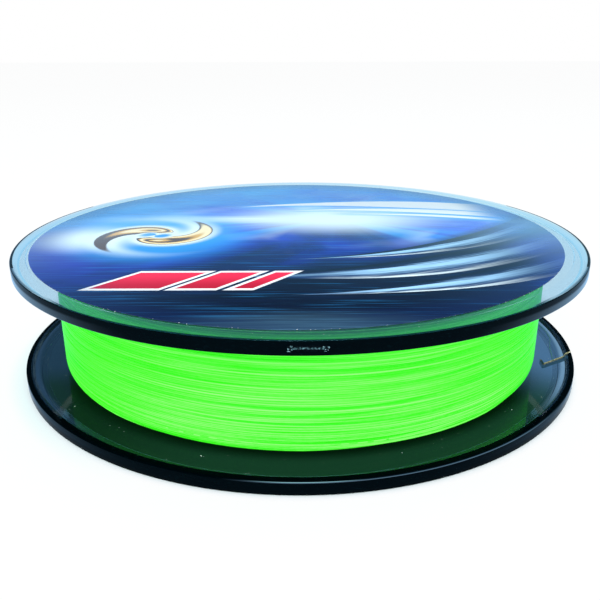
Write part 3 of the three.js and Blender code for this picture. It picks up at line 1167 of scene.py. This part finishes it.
@dataclass
class Flanges:
    """The two smoke-clear flanges, with their rims, pegs, slit and gate mark."""

    sizes: SpoolSizes
    slit: SlitSizes
    plastic: Material
    upper_wall: Material
    lower_wall: Material
    lip_corner: Material
    slit_wall: Material
    hook_wall: Material
    recess: Material
    torn: Material
    splinter: Material
    peg_count: int = 3
    peg_circle: float = 22.0 * MM
    peg_radius: float = 1.6 * MM
    peg_height: float = 7.0 * MM
    peg_sides: int = 24
    gate_width: float = 4.5 * MM
    gate_height: float = 0.75 * MM
    gate_depth: float = 0.25 * MM
    gate_x: float = 0.85 * MM
    gate_below: float = 1.05 * MM
    ledge_thickness: float = 0.11 * MM
    shards_per_end: int = 16
    lip_dark_above: float = 0.06 * MM
    round_clear_above: tuple[float, float] = (0.98, 0.40)
    black_edge: float = 0.24 * MM
    black_edge_beyond: float = 0.9
    clearing_gain: float = 2.2
    clearing_start: float = 1.0
    clear_lip: float = 0.60 * MM
    clear_lip_beyond: float = 33.0 * MM

    def _section(self, hub: Section) -> Section:
        """Gives a flange's section with its outer face down.

        Args:
            hub: Points from the bore to the recess's floor.

        Returns:
            The closed section.
        """
        s = self.sizes
        edge = s.edge_break
        outer = s.flange_radius - s.outer_round
        lip_corner = s.flange_radius - s.inner_round
        spigot_top = s.plate + s.spigot_height
        return [
            *hub,
            (s.recess_radius - edge, s.recess_depth),
            (s.recess_radius, s.recess_depth - edge),
            (s.recess_radius, edge),
            (s.recess_radius + edge, 0.0),
            (outer - self.black_edge, 0.0),
            *arc((outer, s.outer_round), s.outer_round, -90.0, 0.0, 8),
            *arc((lip_corner, s.rim_height - s.inner_round), s.inner_round, 0.0, 90.0, 5),
            (s.lip_foot + self.clear_lip, s.rim_height),
            *blend_slope((lip_corner - s.lip_width, s.rim_height), (s.lip_foot, s.plate), 8),
            (s.lip_foot - 2.0 * edge, s.plate),
            (s.spigot_radius, s.plate),
            (s.spigot_radius, spigot_top),
            (s.spigot_radius - s.spigot_wall, spigot_top),
            (s.spigot_radius - s.spigot_wall, s.plate),
            (s.bore + edge, s.plate),
            (s.bore, s.plate - edge),
        ]

    def _zone(self, face: bmesh.types.BMFace, lip: Zone) -> Zone:
        """Tells which part of the flange a face belongs to, with the flange's outer face down.

        Args:
            face: The face.
            lip: Zone that the lip's rounded corner counts as.

        Returns:
            The face's zone.
        """
        s = self.sizes
        centre = face.calc_center_median()
        radius = math.hypot(centre.x, centre.y)
        outer = s.flange_radius - s.outer_round
        sideways = abs(centre.x) / radius
        # Painted shade: on the lower flange the lip turns near black from its foot, and from farther out at
        # the sides.
        if centre.z > s.plate + self.lip_dark_above:
            dark_from = s.lip_foot + (self.clear_lip if abs(centre.x) > self.clear_lip_beyond else 0.0)
            return lip if radius > outer or lip is Zone.LIP and radius > dark_from else Zone.PLATE
        # Painted shade: at the sides, a ring at the outer face's edge takes the near-black rim material.
        on_outer_face = centre.z < self.black_edge * 0.01
        if on_outer_face:
            black = radius > outer - self.black_edge and sideways > self.black_edge_beyond
            return Zone.WALL if black else Zone.PLATE
        # Painted shade: the rounded edge stays clear at the front and turns near black towards the sides.
        at_sides, at_front = self.round_clear_above
        clearing = sideways * self.clearing_gain - self.clearing_start
        share = 1.0 if lip is Zone.LIP else min(1.0, max(0.0, clearing))
        clear_above = at_front + (at_sides - at_front) * share
        return Zone.WALL if radius > outer and abs(face.normal.z) < clear_above else Zone.PLATE

    def _turn(self, hub: Section, lip: Zone) -> Mesh:
        """Turns a flange, marks its zones and stands the pegs on its inner face.

        Args:
            hub: Points of its section from the bore to the recess's floor.
            lip: Zone that the lip's rounded corner counts as.

        Returns:
            The mesh, with the flange's outer face down.
        """
        bm = turn_section(self._section(hub), Turning.FINE)
        for face in bm.faces:
            face.material_index = self._zone(face, lip).value
        half_up = self.sizes.plate + self.peg_height / 2
        for peg in range(self.peg_count):
            middle = on_circle(self.peg_circle, peg / self.peg_count * math.tau, half_up)
            bmesh.ops.create_cone(
                bm,
                cap_ends=True,
                segments=self.peg_sides,
                radius1=self.peg_radius,
                radius2=self.peg_radius,
                depth=self.peg_height,
                matrix=Matrix.Translation(middle),
            )
        return bm

    def _slit_cutters(self) -> list[Piece]:
        """Makes the cutters for the slit and the nick at its inner end.

        Returns:
            The cutters.
        """
        cutters = []
        over = 1.0 * MM
        slit = self.slit
        inner_end = slit.point(0.0, self.sizes.rim_height / 2, self.sizes.flange_radius)
        for run, direction, material in (
            (slit.length(self.sizes.flange_radius) + over, slit.direction, self.slit_wall),
            (slit.hook_length, slit.direction + slit.hook_turn, self.hook_wall),
        ):
            size = Vector((run + slit.width / 2, slit.width, self.sizes.rim_height + 2 * over))
            turned = Matrix.Rotation(direction, 4, "Z") @ Matrix.Translation((run / 2, 0.0, 0.0))
            cutters.append(box_cutter(size, Matrix.Translation(inner_end) @ turned, material))
        return cutters

    def build_lower(self) -> None:
        """Builds the lower flange, with its bare hub ring and its slit."""
        s = self.sizes
        edge = s.edge_break
        hub = [(s.bore, edge), (s.bore + edge, 0.0), (s.hub_face, 0.0), (s.hub_face, s.recess_depth)]
        finishes = [self.plastic, self.lower_wall, self.lip_corner]
        piece = make_piece("smoke_flange_lower", self._turn(hub, Zone.LIP), finishes)
        cut_away(piece, self._slit_cutters())
        seat(piece, "flange_plastic", "lower_flange")

    def build_upper(self) -> None:
        """Builds the upper flange, turned over, with its gate recess towards -Y."""
        s = self.sizes
        bm = self._turn([(s.bore, s.recess_depth)], Zone.WALL)
        turn_over = Matrix.Translation((0.0, 0.0, s.height)) @ Matrix.Rotation(math.pi, 4, "X")
        bmesh.ops.transform(bm, matrix=turn_over, verts=bm.verts[:])
        piece = make_piece("smoke_flange_upper", bm, [self.plastic, self.upper_wall])
        place = Matrix.Translation((self.gate_x, -s.flange_radius, s.height - self.gate_below))
        size = Vector((self.gate_width, 2 * self.gate_depth, self.gate_height))
        cut_away(piece, [box_cutter(size, place, self.recess)])
        seat(piece, "flange_plastic", "upper_flange")

    def build_gate_stub(self, seed: int = 7) -> None:
        """Builds the torn stub of the gate: a thin ledge in its recess, splintered at both ends.

        Args:
            seed: Seed of its tears.
        """
        s = self.sizes
        rng = random.Random(seed)
        ledge_depth = self.gate_depth * 0.6
        middle = Vector((self.gate_x, -s.flange_radius + ledge_depth, s.height - self.gate_below))
        size = (self.gate_width * 0.80, ledge_depth, self.ledge_thickness)
        bm = bmesh.new()
        bmesh.ops.create_cube(bm, size=1.0)
        bmesh.ops.subdivide_edges(bm, edges=bm.edges[:], cuts=9, use_grid_fill=True)
        bmesh.ops.scale(bm, vec=size, verts=bm.verts[:])
        bmesh.ops.translate(bm, vec=middle, verts=bm.verts[:])
        for vert in bm.verts:
            vert.co += Vector([rng.uniform(-0.035, 0.035) * MM for _ in range(3)])
        ledge_faces = len(bm.faces)
        for end in (-1.0, 1.0):
            for _ in range(self.shards_per_end):
                place = middle + Vector((end * self.gate_width * rng.uniform(0.37, 0.52), 0.0, 0.0))
                place.z += rng.uniform(-0.42, 0.28) * MM
                shape = Matrix.Diagonal([rng.uniform(0.03, 0.10) * MM for _ in range(3)]).to_4x4()
                turn = Matrix.Rotation(rng.uniform(0.0, math.tau), 4, "Y")
                shard = Matrix.Translation(place) @ turn @ shape
                bmesh.ops.create_icosphere(bm, subdivisions=1, radius=1.0, matrix=shard)
        bm.faces.ensure_lookup_table()
        for face in bm.faces[ledge_faces:]:
            face.material_index = 1
        bmesh.ops.recalc_face_normals(bm, faces=bm.faces[:])
        piece = make_piece("gate_stub", bm, [self.torn, self.splinter])
        seat(piece, "flange_plastic", sharp=40.0)


@dataclass
class Labels:
    """The printed labels, and the dust that their edge gathers."""

    sizes: SpoolSizes
    upper_print: Material
    lower_print: Material
    adhesive: Material
    dust: Material
    film_edge: float = 0.02 * MM

    def _mark_adhesive(self, bm: Mesh, side: float, least: float) -> None:
        """Gives the second material to the faces that look up or down by at least so much.

        Args:
            bm: The label's mesh.
            side: 1 for up, -1 for down.
            least: Least share of a face's normal.
        """
        for face in bm.faces:
            if face.normal.z * side > least:
                face.material_index = 1

    def build_upper(self) -> None:
        """Builds the upper label, a whole disc."""
        s = self.sizes
        bm = bmesh.new()
        bmesh.ops.create_circle(bm, cap_ends=True, radius=s.label_radius, segments=Turning.FINE.value)
        bmesh.ops.translate(bm, vec=(-s.label_offset, 0.0, s.height - s.recess_depth), verts=bm.verts[:])
        raised = bmesh.ops.extrude_face_region(bm, geom=bm.faces[:], use_keep_orig=True)["geom"]
        top = [item for item in raised if isinstance(item, bmesh.types.BMVert)]
        bmesh.ops.translate(bm, vec=(0.0, 0.0, s.label_thickness), verts=top)
        bmesh.ops.recalc_face_normals(bm, faces=bm.faces[:])
        rim = [edge for edge in bm.edges if all(vert in top for vert in edge.verts)]
        bmesh.ops.bevel(
            bm, geom=rim, offset=self.film_edge, segments=2, profile=0.5, affect="EDGES", material=-1
        )
        self._mark_adhesive(bm, -1.0, 0.5)
        piece = make_piece("upper_label_film", bm, [self.upper_print, self.adhesive])
        seat(piece, "upper_label_film", "upper_label")

    def build_lower(self) -> None:
        """Builds the lower label, a ring round the hub."""
        s = self.sizes
        hole = s.hub_face + s.label_clearance
        bottom = s.recess_depth - s.label_thickness
        edge = self.film_edge
        section = [
            (hole, bottom + edge),
            (hole + edge, bottom),
            (s.label_radius - edge, bottom),
            (s.label_radius, bottom + edge),
            (s.label_radius, s.recess_depth),
            (hole, s.recess_depth),
        ]
        bm = turn_section(section, Turning.FINE)
        self._mark_adhesive(bm, 1.0, -0.5)
        piece = make_piece("lower_label_film", bm, [self.lower_print, self.adhesive])
        seat(piece, "lower_label_film", "lower_label")

    def build_dust(self, seed: int = 11) -> None:
        """Builds specks of dust: most lie along the upper label's edge, and others on the bare plastic.

        Args:
            seed: Seed of their places.
        """
        s = self.sizes
        rng = random.Random(seed)
        bm = bmesh.new()
        label_top = s.height - s.recess_depth + s.label_thickness
        for count, inner, outer, height in (
            (190, s.label_radius - 0.1 * MM, s.label_radius + 0.25 * MM, label_top),
            (90, s.recess_radius + 0.1 * MM, s.flange_radius - s.outer_round, s.height),
            (110, s.wound_radius + 0.4 * MM, s.lip_foot, s.plate),
        ):
            for _ in range(count):
                place = on_circle(rng.uniform(inner, outer), rng.uniform(0.0, math.tau), height)
                size = rng.uniform(0.020, 0.036) * MM + rng.random() ** 5 * 0.050 * MM
                if height > s.plate:
                    place -= Vector((s.label_offset if outer < s.recess_radius else 0.0, 0.0, size * 0.45))
                flat = Matrix.Diagonal((size * rng.uniform(0.8, 1.9), size, size * 0.45, 1.0))
                turned = Matrix.Rotation(rng.uniform(0.0, math.tau), 4, "Z")
                speck = Matrix.Translation(place) @ turned @ flat
                bmesh.ops.create_icosphere(bm, subdivisions=1, radius=1.0, matrix=speck)
        seat(make_piece("dust_specks", bm, [self.dust]), "upper_label_film", sharp=60.0)


@dataclass
class Winding:
    """The wound line: a packed core, an even layer on it, and crossing passes over that."""

    sizes: SpoolSizes
    packed: Material
    strand: Material
    tag_end: Material
    steps_per_turn: int = 112
    sides: int = 6
    layer_step: float = 0.16 * MM
    flattening: float = 1.12
    core_depth: float = 3.4 * MM
    core_steps: int = 40
    reel_step: float = 977.0
    tail_start: float = math.radians(24.0)
    tail_from_lip: float = 0.85 * MM
    tail_gap: float = 0.04 * MM
    tail_radius_share: float = 0.24

    def build_core(self) -> None:
        """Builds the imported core, a little inside the even layer."""
        s = self.sizes
        sunk = 3 * self.layer_step
        rise = (s.wound_top - s.wound_bottom) / self.core_steps
        heights = [s.wound_bottom + rise * step for step in range(self.core_steps + 1)]
        outside = [(s.wound_radius_at(height) - sunk, height) for height in heights]
        inside = s.wound_radius - self.core_depth
        section = [(inside, s.wound_bottom), *outside, (inside, s.wound_top)]
        piece = make_piece("line_core", turn_section(section, Turning.MEDIUM), [self.packed])
        seat(piece, "line", "line_inner_layers")

    def _screw(self, turns: int) -> Mesh:
        """Sweeps a strand's section round the axis.

        Args:
            turns: How many turns the strand makes.

        Returns:
            An open tube, with one ring of vertices after another.
        """
        bm = bmesh.new()
        bmesh.ops.create_circle(bm, radius=self.sizes.line / 2, segments=self.sides)
        profile = make_piece("strand_section", bm, [])
        sweep = profile.modifiers.new("sweep", "SCREW")
        sweep.axis = "Z"
        sweep.angle = math.tau
        sweep.iterations = turns
        sweep.screw_offset = self.sizes.line
        sweep.steps = sweep.render_steps = self.steps_per_turn
        sweep.use_merge_vertices = False
        graph = bpy.context.evaluated_depsgraph_get()
        mesh = bpy.data.meshes.new_from_object(profile.evaluated_get(graph))
        bpy.data.objects.remove(profile, do_unlink=True)
        swept = bmesh.new()
        swept.from_mesh(mesh)
        bpy.data.meshes.remove(mesh)
        return swept

    def _lay_tube(self, centres: Callable[[int], Vector], turns: int, reel: float) -> Mesh:
        """Lays a swept tube along a route, with a UV map in millimetres along it.

        Args:
            centres: Gives the route's point for a ring.
            turns: How many turns the route makes.
            reel: Where on its UV map the strand starts, in millimetres, so that no two look alike.

        Returns:
            The closed tube.
        """
        radius = self.sizes.line / 2 * self.flattening
        bm = self._screw(turns)
        bm.verts.ensure_lookup_table()
        step_length = math.tau * self.sizes.wound_radius / self.steps_per_turn / MM
        for index, vert in enumerate(bm.verts):
            ring, side = divmod(index, self.sides)
            centre = centres(ring)
            outward = Vector((centre.x, centre.y, 0.0)).normalized()
            turn = side / self.sides * math.tau
            vert.co = centre + outward * (radius * math.cos(turn))
            vert.co.z += radius * math.sin(turn)
        layer = bm.loops.layers.uv.new("strand")
        for face in bm.faces:
            sides_here = [loop.vert.index % self.sides for loop in face.loops]
            wraps = max(sides_here) - min(sides_here) > 1
            for loop, side in zip(face.loops, sides_here):
                around = side + self.sides if wraps and side == 0 else side
                loop[layer].uv = (reel + loop.vert.index // self.sides * step_length, around / self.sides)
        ends = [edge for edge in bm.edges if edge.is_boundary]
        bmesh.ops.holes_fill(bm, edges=ends, sides=0)
        bmesh.ops.recalc_face_normals(bm, faces=bm.faces[:])
        return bm

    def _route(self, lay: Lay, turns: int, start: float, depth: float, seed: int) -> Callable[[int], Vector]:
        """Gives the route of one pass from flange to flange, straying more the fewer turns it takes.

        Args:
            lay: Which way the pass climbs.
            turns: How many turns it takes.
            start: Azimuth of its first point.
            depth: How far its centre lies inside the winding's outside.
            seed: Seed of its wander.

        Returns:
            A function from ring number to point.
        """
        s = self.sizes
        low = s.wound_bottom + s.line / 2
        high = s.wound_top - s.line / 2
        last = turns * self.steps_per_turn
        tuck = self.steps_per_turn / 16
        stray = min(1.0, 6.0 / turns)

        def centre(ring: int) -> Vector:
            """Gives the pass's centre.

            Args:
                ring: Number of the ring.

            Returns:
                The point.
            """
            share = min(1.0, ring / last)
            eased = share + math.sin(math.tau * share) * -0.012
            wander = noise.noise(Vector((ring * 0.021, seed * 3.7, 0.5))) * 0.26
            wander += noise.noise(Vector((ring * 0.11, seed * 5.1, 4.5))) * 0.05
            height = low + (high - low) * (eased if lay is Lay.RISING else 1.0 - eased)
            height = min(high, max(low, height + wander * stray * MM))
            from_end = min(ring, last - ring)
            sunk = depth + max(0.0, 1.0 - from_end / tuck) * 3.0 * self.layer_step
            swell = noise.noise(Vector((ring * 0.03, seed * 2.3, 9.5))) * 0.03 * MM
            radius = s.wound_radius_at(height) - sunk + min(0.0, swell)
            return on_circle(radius, start + ring / self.steps_per_turn * math.tau, height)

        return centre

    def _build_passes(self, name: str, lay: Lay, passes: int, turns: int, layers: int, seed: int) -> None:
        """Builds several passes of one lay as a piece.

        Args:
            name: Name of the piece.
            lay: Which way the passes climb.
            passes: How many passes.
            turns: Turns in each pass.
            layers: How many layers lie over them.
            seed: Seed of their wander.
        """
        depth = self.sizes.line / 2 + layers * self.layer_step
        whole = bmesh.new()
        for number in range(passes):
            start = number / passes * math.tau + seed
            route = self._route(lay, turns, start, depth, seed + number)
            tube = self._lay_tube(route, turns, self.reel_step * (seed + number))
            scratch = bpy.data.meshes.new("pass")
            tube.to_mesh(scratch)
            tube.free()
            whole.from_mesh(scratch)
            bpy.data.meshes.remove(scratch)
        seat(make_piece(name, whole, [self.strand]), "line", "line_outer_layer", sharp=80.0)

    def build_strands(self) -> None:
        """Builds the even layer and the crossing passes over it."""
        self._build_passes("line_even_layer", Lay.RISING, 1, 62, 2, 3)
        self._build_passes("line_rising_passes", Lay.RISING, 9, 7, 1, 21)
        self._build_passes("line_falling_passes", Lay.FALLING, 9, 5, 0, 47)

    def _tail_points(self, slit: SlitSizes) -> list[Vector]:
        """Gives the tag end's route, from the winding over the lower flange and into the slit.

        Args:
            slit: The slit that grips it.

        Returns:
            The route's points.
        """
        s = self.sizes
        slack = s.lip_foot - self.tail_from_lip - s.wound_radius
        resting = s.plate + s.line / 2 + self.tail_gap
        in_slit = s.plate / 2
        leaving = s.wound_bottom + s.line
        over_flange = (
            (0.34, 17.1, (leaving + resting) / 2),
            (0.72, 9.7, resting),
            (0.99, 2.1, resting),
            (0.97, -4.6, resting),
            (0.77, -10.2, resting),
            (0.75, -14.3, resting),
        )
        through_slit = (
            (0.36, resting - s.line / 2),
            (0.46, in_slit + s.line / 2),
            (0.58, in_slit),
            (0.78, in_slit),
        )
        route = [on_circle(s.wound_radius - s.line / 2, self.tail_start, leaving)]
        for share, turn, height in over_flange:
            route.append(on_circle(s.wound_radius + share * slack, math.radians(turn), height))
        for share, height in through_slit:
            route.append(slit.point(share, height, s.flange_radius))
        return route

    def build_tail(self, slit: SlitSizes) -> None:
        """Builds the tag end.

        Args:
            slit: The slit that grips it.
        """
        points = self._tail_points(slit)
        curve = bpy.data.curves.new("tail_route", "CURVE")
        curve.dimensions = "3D"
        curve.bevel_depth = self.sizes.line * self.tail_radius_share
        curve.bevel_resolution = 3
        curve.resolution_u = 14
        curve.use_fill_caps = True
        spline = curve.splines.new("BEZIER")
        spline.bezier_points.add(len(points) - 1)
        for knot, point in zip(spline.bezier_points, points):
            knot.co = point
            knot.handle_left_type = knot.handle_right_type = "AUTO"
        carrier = bpy.data.objects.new("tail_route", curve)
        bpy.context.scene.collection.objects.link(carrier)
        graph = bpy.context.evaluated_depsgraph_get()
        bm = bmesh.new()
        bm.from_mesh(bpy.data.meshes.new_from_object(carrier.evaluated_get(graph)))
        bpy.data.objects.remove(carrier, do_unlink=True)
        bmesh.ops.remove_doubles(bm, verts=bm.verts[:], dist=CAP_GAP)
        bmesh.ops.recalc_face_normals(bm, faces=bm.faces[:])
        seat(make_piece("line_tag_end", bm, [self.tag_end]), "line", "line_tail", sharp=80.0)


# ---- Stage ----


@dataclass(frozen=True)
class Stage:
    """The camera, the pale floor, the lamps and the surroundings."""

    camera_place: tuple[float, float, float] = (0.0, -0.11369, 0.04951)
    pitch: float = math.radians(20.250)
    roll: float = math.radians(-0.15)
    lens: float = 40.70
    sensor: float = 36.0
    floor_size: float = 6.0
    floor_below: float = 0.05 * MM
    ambient: float = 0.8
    window: Colour = (1.5, 3.0, 3.3)
    lamp_colour: Colour = (0.86, 0.97, 1.0)

    def make_camera(self) -> None:
        """Makes the camera at the photograph's place."""
        data = bpy.data.cameras.new("camera")
        data.sensor_width = self.sensor
        data.lens = self.lens
        data.clip_start = 0.005
        data.clip_end = 50.0
        camera = bpy.data.objects.new("camera", data)
        turned = Matrix.Rotation(math.pi / 2 - self.pitch, 4, "X") @ Matrix.Rotation(self.roll, 4, "Z")
        camera.matrix_world = Matrix.Translation(self.camera_place) @ turned
        bpy.context.scene.collection.objects.link(camera)
        bpy.context.scene.camera = camera

    def make_floor(self) -> None:
        """Makes the floor, white to the camera but for part of the spool's shadow, with painted light and
        shade under the flange, seen through its plastic, and a faint painted cyan shadow at the left.
        """
        bm = bmesh.new()
        bmesh.ops.create_grid(bm, x_segments=2, y_segments=2, size=self.floor_size / 2)
        bmesh.ops.translate(bm, vec=(0.0, 0.0, -self.floor_below), verts=bm.verts[:])
        material = bpy.data.materials.new("floor")
        material.use_nodes = True
        tree = material.node_tree
        tree.nodes.clear()
        painter = Painter(tree)
        path, through, mirrored = painter.ray_kinds()
        camera_ray = painter.read(path, "Is Camera Ray")
        x, y, _ = painter.place_mm()
        from_axis = x.hypot(y)
        seen_at = seen_at_radius(x, y)
        painted_lip_band = seen_at.ramp(44.2, 44.9) * seen_at.ramp(45.8, 45.2)
        # Painted shadow: a faint cyan tint on the open floor left of the spool.
        painted_cyan_shadow = from_axis.ramp(50.0, 47.0) * x.ramp(-18.0, -42.0) * 0.4
        open_floor = painter.mix(painted_cyan_shadow, WHITE, (0.60, 1.0, 1.0))
        # Painted light under the flange, seen through its plastic.
        painter.colour = painter.place(Effect.UNDER_LIGHT).outputs["Color"]
        # Painted light under the lip: pale at the right and navy at the left.
        painter.lay(painted_lip_band * x.ramp(33.0, 44.0), (0.30, 0.40, 0.52))
        painter.lay(painted_lip_band * x.ramp(-22.0, -42.0), (0.030, 0.054, 0.090))
        # Painted shade under the rim's wall.
        painter.lay(seen_at.ramp(45.3, 45.8), (0.002, 0.005, 0.009))
        painter.lay(from_axis.ramp(46.8, 56.0).most(camera_ray), open_floor)
        painter.lay(mirrored, (0.34, 0.64, 1.0))
        paper = painter.node("ShaderNodeBsdfDiffuse", Color=(0.90, 0.95, 0.97))
        bright = painter.node("ShaderNodeEmission", Color=painter.colour, Strength=1.0)
        share = (camera_ray.most(mirrored) * from_axis.ramp(46.0, 47.6) * 0.9).most(through)
        mixed = painter.node("ShaderNodeMixShader", Fac=share)
        tree.links.new(paper.outputs[0], mixed.inputs[1])
        tree.links.new(bright.outputs[0], mixed.inputs[2])
        painter.node("ShaderNodeOutputMaterial", Surface=mixed.outputs[0])
        make_piece("floor", bm, [material])

    def make_world(self) -> None:
        """Makes the surroundings: even light, and for reflections a pale wall under a dark room."""
        world = bpy.data.worlds.new("surroundings")
        world.use_nodes = True
        bpy.context.scene.world = world
        world.node_tree.nodes.clear()
        painter = Painter(world.node_tree)
        path, through, _ = painter.ray_kinds()
        direction = painter.node("ShaderNodeTexCoord")
        split = painter.node("ShaderNodeSeparateXYZ", Vector=direction.outputs["Generated"])
        across, ahead, rise = (painter.read(split, axis) for axis in range(3))
        painter.colour = painter.mix(across.ramp(-0.7, 0.7), (0.36, 0.66, 1.0), (0.42, 0.80, 1.0))
        painter.lay(rise.ramp(0.15, 0.38), (0.11, 0.29, 0.50))
        painter.lay(rise.ramp(0.42, 0.75), (0.015, 0.02, 0.03))
        painter.lay((ahead * -0.77 + rise * 0.64).ramp(0.93, 0.985), self.window)
        mirrored_inside = through * painter.read(path, "Glossy Depth").least(1.0)
        bare = painter.read(path, "Is Camera Ray").most(through - mirrored_inside)
        painter.colour = painter.mix(painter.read(path, "Is Glossy Ray"), (self.ambient,) * 3, painter.colour)
        painter.lay(mirrored_inside, (0.02, 0.05, 0.08))
        painter.lay(bare, WHITE)
        background = painter.node("ShaderNodeBackground", Color=painter.colour, Strength=1.0)
        painter.node("ShaderNodeOutputWorld", Surface=background.outputs[0])

    def make_lamps(self) -> None:
        """Makes the soft lamps, which light the spool but don't show in its gloss or through it."""
        for name, place, size, power in (
            ("key", Vector((-0.04, -0.46, 0.34)), 0.24, 2.2),
            ("top", Vector((0.10, 0.22, 0.62)), 0.30, 0.9),
        ):
            data = bpy.data.lights.new(name, "AREA")
            data.shape = "SQUARE"
            data.size = size
            data.energy = power
            data.color = self.lamp_colour
            lamp = bpy.data.objects.new(name, data)
            aim = (Vector((0.0, 0.0, 0.01)) - place).to_track_quat("-Z", "Y")
            lamp.matrix_world = Matrix.Translation(place) @ aim.to_matrix().to_4x4()
            lamp.visible_glossy = False
            lamp.visible_transmission = False
            bpy.context.scene.collection.objects.link(lamp)


def dress_carried_nodes() -> None:
    """Gives the solids that stay in view their own finishes."""
    for name, material in (("drum", DrumPlastic().make()), ("anchor_tape", TapeFilm().make())):
        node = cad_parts[name]
        node.data.materials.clear()
        node.data.materials.append(material)
        LOG.info("%s: carried over", name)


def main() -> None:
    """Builds the stage and every piece of the spool, in order."""
    logging.basicConfig(level=logging.INFO, format="%(name)s: %(message)s")
    bpy.context.scene.view_settings.view_transform = "Standard"
    build_handling_marks()
    build_braid()
    build_under_light()
    stage = Stage()
    stage.make_camera()
    stage.make_floor()
    stage.make_world()
    stage.make_lamps()

    sizes = SpoolSizes()
    slit = SlitSizes()
    flanges = Flanges(
        sizes,
        slit,
        plastic=SmokePlastic(sizes).make(),
        # The rim walls glow inside with painted light, bright in the upper flange and faint in the lower one;
        # the lip corner's coat makes a painted highlight at the front.
        upper_wall=RimPlastic("rim_wall_upper", sizes, (1.0, 1.0, 0.97)).make(),
        lower_wall=RimPlastic("rim_wall_lower", sizes, (0.005, 0.010, 0.016), gloss=0.15).make(),
        lip_corner=RimPlastic(
            "lip_corner", sizes, (0.0, 0.001, 0.002), gloss=0.02, streak=1.0, coat_ior=2.6, ior=1.06
        ).make(),
        slit_wall=SlitPlastic("slit_wall").make(),
        hook_wall=SlitPlastic("hook_wall", straw=(0.06, 0.08, 0.06), pale=(0.16, 0.17, 0.12)).make(),
        recess=CutPlastic("gate_recess", (0.0, 0.0015, 0.0025), (0.002, 0.006, 0.009), 0.35, 0.08).make(),
        # The torn ledge and its splinters are paler than the rim, as torn plastic is, and their pale specks
        # also stand in for glints as painted highlights.
        torn=CutPlastic("torn_gate", (0.003, 0.012, 0.015), (0.12, 0.26, 0.29), 0.3, 0.2).make(),
        splinter=CutPlastic("gate_splinter", (0.05, 0.13, 0.15), (0.32, 0.52, 0.56), 0.25, 0.3).make(),
    )
    flanges.build_lower()
    flanges.build_upper()
    flanges.build_gate_stub()

    winding = Winding(
        sizes,
        # The packed core is a dimmer copy of the line: painted shade for line lying deep between strands.
        packed=BraidedLine("packed_line", bright=(0.05, 0.40, 0.02), glow_strength=0.85).make(),
        strand=BraidedLine("neon_line").make(),
        # The tag end is a grey-teal copy of the line with no glow: painted shade for the strand lying in
        # shadow on the flange.
        tag_end=BraidedLine(
            "tag_end",
            deep=(0.03, 0.10, 0.12),
            middle=(0.06, 0.16, 0.18),
            bright=(0.12, 0.26, 0.28),
            glow_strength=0.0,
        ).make(),
    )
    winding.build_core()
    winding.build_strands()
    winding.build_tail(slit)

    labels = Labels(
        sizes,
        upper_print=UpperPrint(sizes).make(),
        lower_print=LowerPrint().make(),
        adhesive=CutPlastic(
            "label_back", (0.06, 0.10, 0.13), (0.09, 0.13, 0.16), 0.4, lit_from_below=True
        ).make(),
        dust=CutPlastic("dust", (0.75, 0.82, 0.85), (0.95, 0.97, 1.0), 0.7).make(),
    )
    labels.build_upper()
    labels.build_lower()
    labels.build_dust()

    dress_carried_nodes()


if __name__ == "__main__":
    main()
